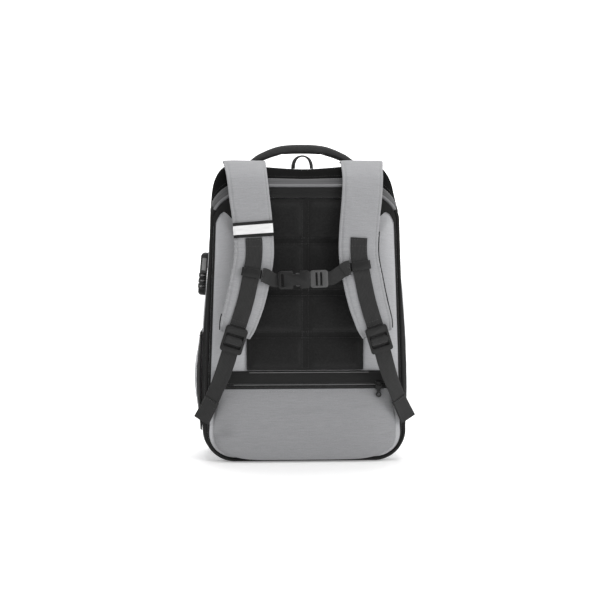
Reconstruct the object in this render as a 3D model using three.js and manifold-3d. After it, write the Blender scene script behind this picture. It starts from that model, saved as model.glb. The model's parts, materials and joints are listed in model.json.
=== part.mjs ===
// Laptop backpack standing on its base, straps down its back and chest buckle fastened.
// Millimetres, +Z up, origin in the middle of the flat base. X runs across the bag and Y from the
// wearer's side (-Y) to the front (+Y). Left is -X, as seen by someone facing the straps.
import * as THREE from "three";
import { mergeVertices } from "three/addons/utils/BufferGeometryUtils.js";
import Module from "manifold-3d";

const wasm = await Module();
wasm.setup();
const V = (x, y, z) => new THREE.Vector3(x, y, z);
const { lerp, clamp, degToRad } = THREE.MathUtils;

// Driving dimensions

const WALL = 2.5; // sewn fabric with its foam backing
const GAP = 0.4; // clearance between neighbouring pieces
const SEAT = 0.7; // clearance under a piece that lies on a curved wall

// Bag outline across X and Z, one row for each depth Y: height of its base and top, half-widths at the
// foot and shoulder, side bulge, radius of the lower corner, reach of the upper corner, sag of the top.
const BODY = [
  { y: -78, base: 6.5, top: 422, foot: 150, shoulder: 139.5, bulge: 1, footR: 42, capX: 86, capZ: 50, sag: 0 },
  { y: -64, base: 0, top: 430, foot: 152, shoulder: 145, bulge: 9, footR: 44, capX: 85, capZ: 50, sag: 0 },
  { y: -48, base: 0, top: 438, foot: 151, shoulder: 145, bulge: 11, footR: 46, capX: 75, capZ: 50, sag: 1 },
  { y: -18, base: 0, top: 456, foot: 149, shoulder: 143.5, bulge: 14, footR: 46, capX: 33, capZ: 50, sag: 6 },
  { y: 25, base: 0, top: 454, foot: 148, shoulder: 142, bulge: 14, footR: 46, capX: 38, capZ: 52, sag: 5 },
  { y: 60, base: 2, top: 432, foot: 143, shoulder: 136, bulge: 11, footR: 46, capX: 56, capZ: 56, sag: 0 },
  { y: 78, base: 14, top: 408, foot: 136, shoulder: 124, bulge: 5, footR: 46, capX: 66, capZ: 58, sag: 0 },
];
const BULGE_HEIGHT = 140; // where the sides are fullest
const BULGE_REACH = 215; // how far above and below that they swell

const EDGE_ZIP_Y = -64; // the zip tape runs from the back seam to here
const TOP_STRIP_Y = -48; // the grey strip over the top ends here
// Depth rows of the side walls, and of the bottle pocket on one of them.
const WALL_Y = [-58, TOP_STRIP_Y, -30, -10, 10, 30, 45];
const FRONT_Y = 60; // the front panel starts here
const FRONT_CROWN = 12; // how far its middle stands out
const BACK_SHEET = 3; // stiffened back panel
const BACK_FACE = BODY[0].y - GAP - BACK_SHEET; // its outer face
const PIPING_R = 2.6;

// Back furniture, heights in Z
const PAD = { half: 90, low: 142, high: 406.5, depth: 12, edge: 5, channel: 6.5, slope: 9 };
const PAD_CHANNELS = [197, 262, 341]; // across the pad; one more runs up its middle
const YOKE = { sheet: 1.6, innerX: 90, innerZ: 338, outerX: 126, outerZ: 380 };
const BAND = { half: 139, low: 119, high: 141, sheet: 2.4 };
const ZIP = { left: -127, right: 134, low: 113.6, high: 118.4, sheet: 2.6 };
const SLIDER = { x: 113, rise: 2.4, width: 9, height: 12, depth: 4.4, post: 1, postHalf: 2.4, eyeHalf: 1.6 };
const PULLER = { length: 13.5, width: 4.6, ringR: 4.6, holeR: 2.3, sheet: 1.6, pinR: 1 };
// Lower pocket: half-width at each height, and how far the cloth stands off the back and hangs down there.
const POCKET = [
  { z: 113, half: 128, puff: 0, droop: 0 },
  { z: 101, half: 132, puff: 4.5, droop: 0 },
  { z: 76, half: 138.5, puff: 10, droop: 0 },
  { z: 52, half: 140.5, puff: 12.5, droop: 0 },
  { z: 28, half: 138, puff: 12.5, droop: 2 },
  { z: 17, half: 129, puff: 11, droop: 6 },
  { z: 13, half: 119, puff: 8, droop: 8 },
  { z: 12, half: 110, puff: 5, droop: 7 },
  { z: 12, half: 106, puff: 0, droop: 0 },
];
const POCKET_SHEET = 2;

// Shoulder strap: centre line of the padded strap on the right, from its seam on the top to its lower end.
const STRAP = [
  { x: 92, y: 2, z: 461, half: 34, thick: 6 },
  { x: 92, y: -20, z: 463.4, half: 34, thick: 6.5 },
  { x: 90, y: -54, z: 451.5, half: 32.5, thick: 8 },
  { x: 88, y: -85, z: 434, half: 31.5, thick: 9 },
  { x: 85, y: -102, z: 405, half: 31, thick: 11 },
  { x: 81, y: -110, z: 370, half: 30.5, thick: 11 },
  { x: 79, y: -116, z: 320, half: 30.5, thick: 11 },
  { x: 85.5, y: -119, z: 281, half: 30.5, thick: 11 },
  { x: 92.5, y: -119, z: 250, half: 30, thick: 11 },
  { x: 103, y: -117, z: 216, half: 28, thick: 10 },
  { x: 108, y: -115.5, z: 200, half: 24, thick: 8 },
];
const WEBBING = { half: 12.5, thick: 1.6 };
const WEBBING_TOP = 349; // height where the webbing is sewn to the strap
// Reflective band on the left strap with its black edges, heights on the strap.
const BAND_STRIPES = [
  { name: "reflective_edge_upper", high: 370, low: 366.4, colour: "black_cloth" },
  { name: "reflective_band", high: 366, low: 351, colour: "reflective" },
  { name: "reflective_edge_lower", high: 350.6, low: 347, colour: "black_cloth" },
];

const LADDER = { half: 17, length: 40, depth: 4.2, seat: 1.3, cheek: 3.2, corner: 4, slotCorner: 1.5 };
const LADDER_SLOTS = [{ low: -12, high: -4.5 }, { low: 1.5, high: 9 }]; // from the middle of the lock
const LADDER_HEIGHT = 194;
// How the lower webbing threads the ladder lock: height from its middle, and distance out of its plane.
const THREADING = [
  { up: 6.5, out: -1.5 },
  { up: 5.2, out: 2.2 },
  { up: 1.2, out: 3.9 },
  { up: -4.4, out: 3.9 },
  { up: -7.8, out: 1.6 },
  { up: -9, out: -1.6 },
  { up: -12, out: -4 },
  { up: -20, out: -4.4 },
];
// The lower webbing passes here on its way to the top of the tab at the corner, on the right.
const WEBBING_PASS = { x: 126, y: -110, z: 142 };
const TAB_TOP = { x: 143, y: -97, z: 100 };
// The tab goes on through here to its square end, which is sewn to the piping and stands out past the side.
const TAB = { half: 13, thick: 4 };
const TAB_BEND = { x: 151.5, y: -90.5, z: 82 };
const TAB_END = { x: 159.5, y: -83.8, z: 66 };

const CLIP_HEIGHT = { left: 294, right: 304 }; // chest strap sliders
const CLIP = { length: 13, wall: 2, lip: 2.4, play: 0.6 };
const CHEST = { half: 10, thick: 1.6 };
const BUCKLE = { x: -19, y: -127, z: 284, tilt: 2, length: 48, half: 13.5, depth: 11, wall: 2.2, plug: 27 };

// Handle on the top, right half from its sewn end to its middle.
const HANDLE_Y = 22;
const HANDLE_LEAN = 0.2; // its sewn ends follow the fall of the top towards the front
const HANDLE = [
  { x: 94, lift: -0.4, half: 13, thick: 3 },
  { x: 83, lift: 5, half: 13, thick: 5 },
  { x: 67, lift: 15, half: 12.5, thick: 9 },
  { x: 36, lift: 29, half: 12, thick: 11 },
  { x: 0, lift: 33, half: 12, thick: 11.5 },
];
const LOOP = { y: 0, half: 5, thick: 1.6, span: 14.5, rise: 20 };

const LOCK = { y: -45, z: 289, seat: 0.95, width: 22, length: 66, depth: 11, corner: 5, shoulder: 6 };
const DIAL = { radius: 5.2, height: 6.6, pitch: 8.4, sides: 20, first: -19, axisDepth: 7, axisSide: -5.6 };

const BOTTLE = { low: 48, high: 197, seat: 1.1, puff: 8, sheet: 1.8, hem: 3, gussetY: -30 };
// How far the bottle pocket stands off the wall, as shares of its puff: at the wall's depth rows, then from
// its mouth down.
const BOTTLE_ROWS = [0, 0.55, 0.95, 1, 1, 0.7, 0];
const BOTTLE_STEPS = [0.75, 0.85, 0.95, 1, 0.95, 0.8, 0.55, 0.25, 0];

// Materials

const FINISH = {
  grey_cloth: { color: 0x9d9da0, roughness: 0.9, metalness: 0 },
  black_cloth: { color: 0x262627, roughness: 0.85, metalness: 0 },
  mesh: { color: 0x232324, roughness: 0.95, metalness: 0 },
  webbing: { color: 0x343436, roughness: 0.75, metalness: 0 },
  plastic: { color: 0x303032, roughness: 0.45, metalness: 0 },
  reflective: { color: 0xebebeb, roughness: 0.35, metalness: 0 },
  lock: { color: 0x2c2c2e, roughness: 0.35, metalness: 0.6 },
};
const materialOf = (name) => new THREE.MeshStandardMaterial({ name, ...FINISH[name] });

// Geometry helpers

// One closed geometry from points and triangles, facing out, with empty triangles dropped.
function closedGeometry(points, triangles) {
  const raw = new THREE.BufferGeometry();
  raw.setAttribute("position", new THREE.Float32BufferAttribute(points.flatMap((p) => p.toArray()), 3));
  raw.setIndex(triangles.flat());
  const merged = mergeVertices(raw, 1e-3);
  const kept = [];
  const found = merged.index.array;
  for (let i = 0; i < found.length; i += 3) {
    const [a, b, c] = found.slice(i, i + 3);
    if (a !== b && b !== c && c !== a) kept.push(a, b, c);
  }
  const place = (i) => new THREE.Vector3().fromBufferAttribute(merged.attributes.position, i);
  let volume = 0;
  for (let i = 0; i < kept.length; i += 3) {
    volume += place(kept[i]).dot(place(kept[i + 1]).cross(place(kept[i + 2])));
  }
  if (volume < 0) kept.reverse();
  merged.setIndex(kept);
  merged.computeVertexNormals();
  return merged;
}

// A sheet between two matching grids of points. A wrapped grid closes on itself along its rows.
function sheetBetween(outer, inner, { wrap = false, closeEnd = false } = {}) {
  const rows = outer.length;
  const cols = outer[0].length;
  const points = [...outer.flat(), ...inner.flat()];
  const at = (layer, r, c) => (layer * rows + r) * cols + (c % cols);
  const triangles = [];
  const quad = (a, b, c, d) => triangles.push([a, b, c], [a, c, d]);
  const spans = wrap ? cols : cols - 1;
  for (let c = 0; c < spans; c++) {
    for (let r = 0; r < rows - 1; r++) {
      quad(at(0, r, c), at(0, r + 1, c), at(0, r + 1, c + 1), at(0, r, c + 1));
      quad(at(1, r, c), at(1, r, c + 1), at(1, r + 1, c + 1), at(1, r + 1, c));
    }
    quad(at(0, 0, c), at(0, 0, c + 1), at(1, 0, c + 1), at(1, 0, c));
    if (!closeEnd) {
      const r = rows - 1;
      quad(at(0, r, c), at(1, r, c), at(1, r, c + 1), at(0, r, c + 1));
    }
  }
  if (!wrap) {
    for (let r = 0; r < rows - 1; r++) {
      const c = cols - 1;
      quad(at(0, r, 0), at(1, r, 0), at(1, r + 1, 0), at(0, r + 1, 0));
      quad(at(0, r, c), at(0, r + 1, c), at(1, r + 1, c), at(1, r, c));
    }
  }
  if (closeEnd) {
    for (const [layer, grid] of [outer, inner].entries()) {
      const middle = grid[rows - 1].reduce((sum, p) => sum.add(p), V(0, 0, 0)).divideScalar(cols);
      const hub = points.push(middle) - 1;
      for (let c = 0; c < spans; c++) {
        const edge = [at(layer, rows - 1, c), at(layer, rows - 1, c + 1)];
        triangles.push(layer ? [edge[0], edge[1], hub] : [edge[1], edge[0], hub]);
      }
    }
  }
  return closedGeometry(points, triangles);
}

// A solid through matching rings of points: capped at both ends, or closed on itself.
function loft(rings, closed = false) {
  const sides = rings[0].length;
  const points = rings.flat();
  const triangles = [];
  const at = (k, i) => (k % rings.length) * sides + (i % sides);
  const spans = closed ? rings.length : rings.length - 1;
  for (let k = 0; k < spans; k++) {
    for (let i = 0; i < sides; i++) {
      triangles.push([at(k, i), at(k, i + 1), at(k + 1, i + 1)], [at(k, i), at(k + 1, i + 1), at(k + 1, i)]);
    }
  }
  if (!closed) {
    const last = rings.length - 1;
    for (let i = 1; i < sides - 1; i++) {
      triangles.push([at(0, 0), at(0, i + 1), at(0, i)], [at(last, 0), at(last, i), at(last, i + 1)]);
    }
  }
  return closedGeometry(points, triangles);
}

// A smooth curve through points, and one through rows of named columns.
const throughPoints = (points) => new THREE.CatmullRomCurve3(points, false, "centripetal");
const curveOf = (rows, a, b, c) => throughPoints(rows.map((row) => V(row[a], row[b], c ? row[c] : 0)));

// Frames along a list of points: tangent, width direction, and outward normal near the hint given there.
function framesAlong(points, hints) {
  return points.map((p, i) => {
    const before = points[Math.max(0, i - 1)];
    const after = points[Math.min(points.length - 1, i + 1)];
    const tangent = after.clone().sub(before).normalize();
    const across = hints[i].clone().cross(tangent).normalize();
    return { p, tangent, across, normal: tangent.clone().cross(across).normalize() };
  });
}
const inFrame = (f, across, out, along = 0) =>
  f.p.clone()
    .addScaledVector(f.across, across)
    .addScaledVector(f.normal, out)
    .addScaledVector(f.tangent, along);

// Cross-sections of flat webbing and of a padded strap with round edges, in a frame.
const flatSection = (f, half, thick) =>
  [[-1, -1], [1, -1], [1, 1], [-1, 1]].map(([a, b]) => inFrame(f, a * half, (b * thick) / 2));
const PADDED_SIDES = 12;
const PADDED_SQUARENESS = 0.4;
function paddedSection(f, half, thick) {
  const soft = (v) => Math.sign(v) * Math.abs(v) ** PADDED_SQUARENESS;
  return Array.from({ length: PADDED_SIDES }, (_, i) => {
    const angle = ((i + 0.5) / PADDED_SIDES) * 2 * Math.PI;
    return inFrame(f, half * soft(Math.cos(angle)), (thick / 2) * soft(Math.sin(angle)));
  });
}

// Solids for boolean cuts, and back.
function solidOf(geometry) {
  const bare = new THREE.BufferGeometry();
  bare.setAttribute("position", geometry.getAttribute("position"));
  if (geometry.index) bare.setIndex(geometry.index);
  const merged = mergeVertices(bare, 1e-4);
  const mesh = { numProp: 3, vertProperties: merged.attributes.position.array };
  return new wasm.Manifold(new wasm.Mesh({ ...mesh, triVerts: new Uint32Array(merged.index.array) }));
}
function geometryOf(solid) {
  const mesh = solid.getMesh();
  const geometry = new THREE.BufferGeometry();
  geometry.setAttribute("position", new THREE.BufferAttribute(new Float32Array(mesh.vertProperties), 3));
  geometry.setIndex(new THREE.BufferAttribute(new Uint32Array(mesh.triVerts), 1));
  return geometry;
}
const cutAway = (geometry, ...tools) =>
  geometryOf(tools.reduce((left, tool) => left.subtract(solidOf(tool)), solidOf(geometry)));
const joined = (geometry, ...others) =>
  geometryOf(others.reduce((sum, other) => sum.add(solidOf(other)), solidOf(geometry)));

// What two solids have in common.
const shared = (geometry, other) => geometryOf(solidOf(geometry).intersect(solidOf(other)));

// A rectangle with round corners, as a shape centred on a point.
function roundedRectangle(width, height, radius, x = 0, y = 0) {
  const w = width / 2 - radius;
  const h = height / 2 - radius;
  const shape = new THREE.Shape();
  [[w, -h, -90], [w, h, 0], [-w, h, 90], [-w, -h, 180]].forEach(([cx, cy, start]) =>
    shape.absarc(x + cx, y + cy, radius, degToRad(start), degToRad(start + 90)));
  shape.closePath();
  return shape;
}
const CURVE_STEPS = 4;
const extrude = (shape, depth) =>
  new THREE.ExtrudeGeometry(shape, { depth, bevelEnabled: false, curveSegments: CURVE_STEPS, steps: 1 });
const block = (x0, x1, y0, y1, z0, z1) =>
  new THREE.BoxGeometry(x1 - x0, y1 - y0, z1 - z0).translate((x0 + x1) / 2, (y0 + y1) / 2, (z0 + z1) / 2);

// Scene graph

const backpack = new THREE.Group();
backpack.name = "backpack";
const groups = Object.fromEntries(["bag", "harness", "top", "lock"].map((name) => [name, new THREE.Group()]));
Object.values(groups).forEach((group) => backpack.add(group));

function addPiece(group, name, geometry, finish) {
  const mesh = new THREE.Mesh(geometry, materialOf(finish));
  mesh.name = name;
  group.add(mesh);
  return mesh;
}
// A flat shape drawn in X and Z, laid on the back with its inner face at backY.
function addPlate(group, name, shape, depth, backY, finish) {
  const mesh = addPiece(group, name, extrude(shape, depth), finish);
  mesh.rotation.x = Math.PI / 2;
  mesh.position.y = backY;
  return mesh;
}

// Body surface

const STEPS = { bottom: 3, corner: 5, side: 7, cap: 6, top: 3 };
const HALF = Object.values(STEPS).reduce((sum, n) => sum + n, 0);
const AROUND = 2 * HALF;
const SIDE_START = STEPS.bottom + STEPS.corner;
const CAP_START = SIDE_START + STEPS.side;
const BOTTOM_EDGE = STEPS.bottom + 2; // the base panel ends part of the way round the lower corner

const columns = Object.keys(BODY[0]).filter((key) => key !== "y");
const sections = new THREE.CubicInterpolant(
  BODY.map((row) => row.y), BODY.flatMap((row) => columns.map((key) => row[key])), columns.length);
function sectionAt(y) {
  const values = [...sections.evaluate(y)];
  const section = Object.fromEntries(columns.map((key, i) => [key, values[i]]));
  section.base = Math.max(0, section.base);
  section.sag = Math.max(0, section.sag);
  return section;
}

// Half of an outline from the middle of the base, round one side, to the middle of the top, as (x, z).
function halfOutline(section, sign) {
  const s = section;
  const swell = (z) => s.bulge * Math.max(0, 1 - ((z - BULGE_HEIGHT) / BULGE_REACH) ** 2) ** 2;
  const steps = (n) => Array.from({ length: n }, (_, i) => (i + 1) / n);
  const quarter = Math.PI / 2;
  const points = [[0, s.base]];
  steps(STEPS.bottom).forEach((t) => points.push([(s.foot - s.footR) * t, s.base]));
  steps(STEPS.corner).forEach((t) => {
    const z = s.base + s.footR * (1 - Math.cos(t * quarter));
    points.push([s.foot - s.footR + (s.footR + swell(z)) * Math.sin(t * quarter), z]);
  });
  steps(STEPS.side).forEach((t) => {
    const z = lerp(s.base + s.footR, s.top - s.capZ, t);
    points.push([lerp(s.foot, s.shoulder, t) + swell(z), z]);
  });
  const edge = s.shoulder - s.capX;
  steps(STEPS.cap).forEach((t) =>
    points.push([edge + s.capX * Math.cos(t * quarter), s.top - s.capZ * (1 - Math.sin(t * quarter))]));
  steps(STEPS.top).forEach((t) => points.push([edge * (1 - t), s.top - s.sag * Math.sin(t * quarter) ** 2]));
  return points.map(([x, z]) => [sign * x, z]);
}
const wrapIndex = (u) => ((u % AROUND) + AROUND) % AROUND;
// The closed outline at a depth, drawn in by an inset.
function outlineAt(y, inset = 0) {
  const section = sectionAt(y);
  const outline = [...halfOutline(section, 1), ...halfOutline(section, -1).slice(1, -1).reverse()];
  return outline.map(([x, z], i) => {
    const [x0, z0] = outline[wrapIndex(i - 1)];
    const [x1, z1] = outline[wrapIndex(i + 1)];
    const share = inset / Math.hypot(x1 - x0, z1 - z0);
    return [x - share * (z1 - z0), z - share * (x0 - x1)];
  });
}
// Points of the body wall between two steps round its outline, one row for each depth.
function bodyGrid(fromU, toU, depths, inset = 0) {
  return depths.map((y) => {
    const outline = outlineAt(y, inset);
    return Array.from({ length: toU - fromU + 1 }, (_, i) => {
      const [x, z] = outline[wrapIndex(fromU + i)];
      return V(x, y, z);
    });
  });
}
const depthsBetween = (from, to, n) => Array.from({ length: n + 1 }, (_, i) => lerp(from, to, i / n));

// Height of the top of the bag over a point.
function topHeight(x, y) {
  const half = halfOutline(sectionAt(y), 1).slice(CAP_START);
  const reach = Math.abs(x);
  const next = half.findIndex(([px]) => px <= reach);
  const [x0, z0] = half[next - 1];
  const [x1, z1] = half[next];
  return lerp(z0, z1, (reach - x0) / (x1 - x0));
}
// A point on the left (-1) or right (1) wall at a depth and height.
function wallPoint(sign, y, z) {
  const side = halfOutline(sectionAt(y), sign).slice(STEPS.bottom);
  const next = side.findIndex(([, pz]) => pz >= z);
  const [x0, z0] = side[next - 1];
  const [x1, z1] = side[next];
  return V(lerp(x0, x1, (z - z0) / (z1 - z0)), y, z);
}
// A frame on the left wall: out of the bag, along its depth, and up.
function leftWallFrame(y, z) {
  const reach = 10;
  const up = wallPoint(-1, y, z + reach).sub(wallPoint(-1, y, z - reach)).normalize();
  const deep = wallPoint(-1, y + reach, z).sub(wallPoint(-1, y - reach, z)).normalize();
  const out = up.clone().cross(deep).normalize();
  return { p: wallPoint(-1, y, z), out, up, deep: out.clone().cross(up) };
}

// Bag walls

// Draws the first and last columns of a grid in, so that panels don't touch along their seams.
function trimColumns(grid) {
  const drawIn = (p, next) => p.clone().lerp(next, Math.min(0.5, GAP / 2 / p.distanceTo(next)));
  return grid.map((row) => [drawIn(row[0], row[1]), ...row.slice(1, -1), drawIn(row.at(-1), row.at(-2))]);
}

function buildWalls() {
  const ringDepths = depthsBetween(BODY[0].y, EDGE_ZIP_Y, 2);
  const ring = (inset) => bodyGrid(0, AROUND - 1, ringDepths, inset);
  addPiece(groups.bag, "edge_zip", sheetBetween(ring(0), ring(WALL), { wrap: true }), "black_cloth");
  const wallDepths = [EDGE_ZIP_Y + GAP, ...WALL_Y, FRONT_Y];
  const stripDepths = wallDepths.filter((y) => y <= TOP_STRIP_Y);
  const topDepths = [TOP_STRIP_Y + GAP, ...wallDepths.filter((y) => y > TOP_STRIP_Y)];
  const walls = [
    { name: "bottom_panel", from: -BOTTOM_EDGE, to: BOTTOM_EDGE, depths: wallDepths, finish: "grey_cloth" },
    { name: "side_panel_right", from: BOTTOM_EDGE, to: CAP_START, depths: wallDepths, finish: "grey_cloth" },
    { name: "side_panel_left", from: -CAP_START, to: -BOTTOM_EDGE, depths: wallDepths, finish: "grey_cloth" },
    { name: "top_strip", from: CAP_START, to: AROUND - CAP_START, depths: stripDepths, finish: "grey_cloth" },
    { name: "top_panel", from: CAP_START, to: AROUND - CAP_START, depths: topDepths, finish: "black_cloth" },
  ];
  for (const { name, from, to, depths, finish } of walls) {
    const face = (inset) => trimColumns(bodyGrid(from, to, depths, inset));
    addPiece(groups.bag, name, sheetBetween(face(0), face(WALL)), finish);
  }
}

// Front panel: the rim of the body closed by a shallow crown.
function buildFront() {
  const { y: frontY, base, top } = BODY.at(-1);
  const rimDepths = depthsBetween(FRONT_Y + GAP, frontY, 2);
  const shares = [0.9, 0.6, 0.2];
  const surface = (inset) => {
    const rim = bodyGrid(0, AROUND - 1, rimDepths, inset);
    rim.forEach((row, r) => row.forEach((p) => (p.y -= (inset * r) / (rim.length - 1))));
    const middle = V(0, frontY - inset, (base + top) / 2);
    const crown = shares.map((share) =>
      rim.at(-1).map((p) => middle.clone().lerp(p, share).add(V(0, FRONT_CROWN * (1 - share ** 2), 0))));
    return [...rim, ...crown];
  };
  const sheet = sheetBetween(surface(0), surface(WALL), { wrap: true, closeEnd: true });
  addPiece(groups.bag, "front_panel", sheet, "grey_cloth");
}

// Back of the bag

function outlineShape(outline) {
  return new THREE.Shape(outline.map(([x, z]) => new THREE.Vector2(x, z)));
}

function buildBackPanel() {
  const outline = outlineAt(BODY[0].y);
  addPlate(groups.bag, "back_panel", outlineShape(outline), BACK_SHEET, BODY[0].y - GAP, "grey_cloth");
}

function buildPiping() {
  const sides = 6;
  const y = BODY[0].y - GAP - BACK_SHEET / 2;
  const near = outlineAt(BODY[0].y, -GAP);
  const far = outlineAt(BODY[0].y, -GAP - 2 * PIPING_R);
  const rings = near.map(([x, z], i) => {
    const out = V(far[i][0] - x, 0, far[i][1] - z).divideScalar(2);
    const centre = V(x, y, z).add(out);
    return Array.from({ length: sides }, (_, k) => {
      const angle = (k / sides) * 2 * Math.PI;
      return centre.clone().addScaledVector(out, Math.cos(angle)).add(V(0, PIPING_R * Math.sin(angle), 0));
    });
  });
  addPiece(groups.bag, "piping", loft(rings, true), "black_cloth");
}

// Black corners and top edge of the back, round the upper part of the pad.
function buildYoke() {
  const inset = PIPING_R;
  const upper = halfOutline(sectionAt(BODY[0].y), 1).filter(([, z]) => z > YOKE.outerZ);
  const edge = upper.map(([x, z]) => [x * (1 - inset / BODY[0].foot), z - inset]);
  const padX = PAD.half + GAP;
  const padZ = PAD.high + GAP;
  const right = [[padX, YOKE.innerZ], [YOKE.outerX, YOKE.outerZ], ...edge];
  const left = right.slice(0, -1).map(([x, z]) => [-x, z]).reverse();
  const shape = outlineShape([[padX, padZ], ...right, ...left, [-padX, padZ]]);
  addPlate(groups.bag, "back_yoke", shape, YOKE.sheet, BACK_FACE - GAP, "black_cloth");
}

// Quilted pad: raised cells with sloped sides between flat channels.
function buildPad() {
  const grow = (lines, span) => lines.flatMap((at) => [at - PAD.slope, at - span, at + span, at + PAD.slope]);
  const xs = [-PAD.half, PAD.slope - PAD.half, ...grow([0], 3), PAD.half - PAD.slope, PAD.half];
  const zs = [PAD.low, PAD.low + PAD.slope, ...grow(PAD_CHANNELS, 3), PAD.high - PAD.slope, PAD.high];
  const depthAt = (x, z) => {
    const rim = Math.min(PAD.half - Math.abs(x), z - PAD.low, PAD.high - z);
    const groove = Math.min(Math.abs(x), ...PAD_CHANNELS.map((at) => Math.abs(z - at)));
    if (rim < 1) return PAD.edge;
    return groove < PAD.slope - 1 ? PAD.channel : PAD.depth;
  };
  const y = BACK_FACE - GAP;
  const front = zs.map((z) => xs.map((x) => V(x, y - depthAt(x, z), z)));
  const rear = zs.map((z) => xs.map((x) => V(x, y, z)));
  addPiece(groups.bag, "back_mesh", sheetBetween(front, rear), "mesh");
}

function buildPocket() {
  const plate = (half, low, high, at = 0) => roundedRectangle(2 * half, high - low, 1, at, (low + high) / 2);
  const bandShape = plate(BAND.half, BAND.low, BAND.high);
  addPlate(groups.bag, "lower_band", bandShape, BAND.sheet, BACK_FACE - GAP, "black_cloth");
  const zipHalf = (ZIP.right - ZIP.left) / 2;
  const zipShape = plate(zipHalf, ZIP.low, ZIP.high, (ZIP.left + ZIP.right) / 2);
  addPlate(groups.bag, "pocket_zip", zipShape, ZIP.sheet, BACK_FACE - GAP, "webbing");
  const across = 12;
  const steps = 12;
  const rows = curveOf(POCKET, "z", "half", "puff").getPoints(steps);
  const droops = curveOf(POCKET, "z", "half", "droop").getPoints(steps);
  const crown = (u) => (1 - Math.abs(u) ** 3) ** 0.8;
  const surface = (y) =>
    rows.map(({ x: z, y: half, z: puff }, r) =>
      Array.from({ length: across + 1 }, (_, i) => {
        const u = (2 * i) / across - 1;
        const droop = Math.max(0, droops[r].z) * crown(u);
        return V(u * half, y - Math.max(0, puff) * crown(u), z - droop);
      }));
  const cloth = sheetBetween(surface(BACK_FACE - GAP - POCKET_SHEET), surface(BACK_FACE - GAP));
  addPiece(groups.bag, "lower_pocket", cloth, "grey_cloth");
}

// Zip slider with a bridge, and the pull tab that swings on it.
function buildZipPull() {
  const z = (ZIP.low + ZIP.high) / 2 + SLIDER.rise;
  const face = BACK_FACE - GAP - ZIP.sheet - GAP;
  const bar = PULLER.pinR;
  const hingeY = face - SLIDER.depth - bar - GAP;
  const pinY = hingeY - face;
  const { post, postHalf, eyeHalf } = SLIDER;
  const [halfWidth, halfHeight] = [SLIDER.width / 2, SLIDER.height / 2];
  const body = block(-halfWidth, halfWidth, -SLIDER.depth, 0, -halfHeight, halfHeight);
  const bridgeReach = PULLER.width / 2 + post + 2 * GAP;
  const sides = [-bridgeReach, bridgeReach];
  const posts = sides.map((x) =>
    block(x - post, x + post, pinY - bar - 2 * GAP, post - SLIDER.depth, -postHalf, postHalf));
  const eyes = sides.map((x) =>
    block(x - 1.2 * post, x + 1.2 * post, pinY - bar - GAP, pinY + bar + GAP, -eyeHalf, eyeHalf));
  const carrier = cutAway(joined(body, ...posts), ...eyes);
  const slider = addPiece(groups.bag, "zip_slider", carrier, "plastic");
  slider.position.set(SLIDER.x, face, z);

  const tab = roundedRectangle(PULLER.width, PULLER.length, 1, 0, PULLER.pinR - PULLER.length / 2);
  const ring = new THREE.Shape().absarc(0, -PULLER.length, PULLER.ringR, 0, 2 * Math.PI);
  const hole = new THREE.Shape().absarc(0, -PULLER.length, PULLER.holeR, 0, 2 * Math.PI);
  const flat = (shape, depth) => extrude(shape, depth).rotateX(Math.PI / 2).translate(0, depth / 2, 0);
  const pin = new THREE.CylinderGeometry(bar, bar, 2 * bridgeReach + 2, 8).rotateZ(Math.PI / 2);
  const solid = joined(flat(tab, PULLER.sheet), flat(ring, PULLER.sheet), pin);
  const pull = cutAway(solid, flat(hole, 2 * PULLER.sheet));
  const puller = addPiece(groups.bag, "zip_puller", pull, "plastic");
  puller.position.set(SLIDER.x, hingeY, z);
}

// Bottle pocket on the left side, open at its top.
function buildBottlePocket() {
  const last = BOTTLE_STEPS.length - 1;
  const wall = (offset) =>
    WALL_Y.map((y, r) =>
      BOTTLE_STEPS.map((share, c) => {
        const foot = wallPoint(-1, y, lerp(BOTTLE.high, BOTTLE.low, c / last));
        return foot.sub(V(BOTTLE.seat + offset + BOTTLE.puff * share * BOTTLE_ROWS[r], 0, 0));
      }));
  const outer = wall(BOTTLE.sheet);
  const inner = wall(0);
  const seamRow = WALL_Y.indexOf(BOTTLE.gussetY);
  const gusset = (grid) => grid.slice(0, seamRow + 1);
  const panel = (grid) => {
    const [first, ...rest] = grid.slice(seamRow);
    return [first.map((p, c) => p.clone().lerp(rest[0][c], GAP / p.distanceTo(rest[0][c]))), ...rest];
  };
  addPiece(groups.bag, "pocket_gusset", sheetBetween(gusset(outer), gusset(inner)), "black_cloth");
  addPiece(groups.bag, "bottle_pocket", sheetBetween(panel(outer), panel(inner)), "grey_cloth");
  const hem = (grid) =>
    grid.map((row) => [BOTTLE.hem + GAP, GAP].map((rise) => row[0].clone().add(V(0, 0, rise))));
  addPiece(groups.bag, "pocket_hem", sheetBetween(hem(outer), hem(inner)), "webbing");
}

// Harness

function strapRows(sign) {
  return STRAP.map((row) => ({ ...row, x: sign * row.x }));
}
const STRAP_STEPS = 26;
function strapFrames(sign) {
  const rows = strapRows(sign);
  const line = curveOf(rows, "x", "y", "z");
  const sizes = curveOf(rows, "half", "thick");
  const shares = Array.from({ length: STRAP_STEPS + 1 }, (_, i) => i / STRAP_STEPS);
  const points = shares.map((t) => line.getPoint(t));
  const hints = shares.map((t) => {
    const tangent = line.getTangent(t);
    return V(0, tangent.z, -tangent.y).normalize();
  });
  return framesAlong(points, hints).map((f, i) => {
    const size = sizes.getPoint(shares[i]);
    return { ...f, half: size.x, thick: size.y };
  });
}
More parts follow.
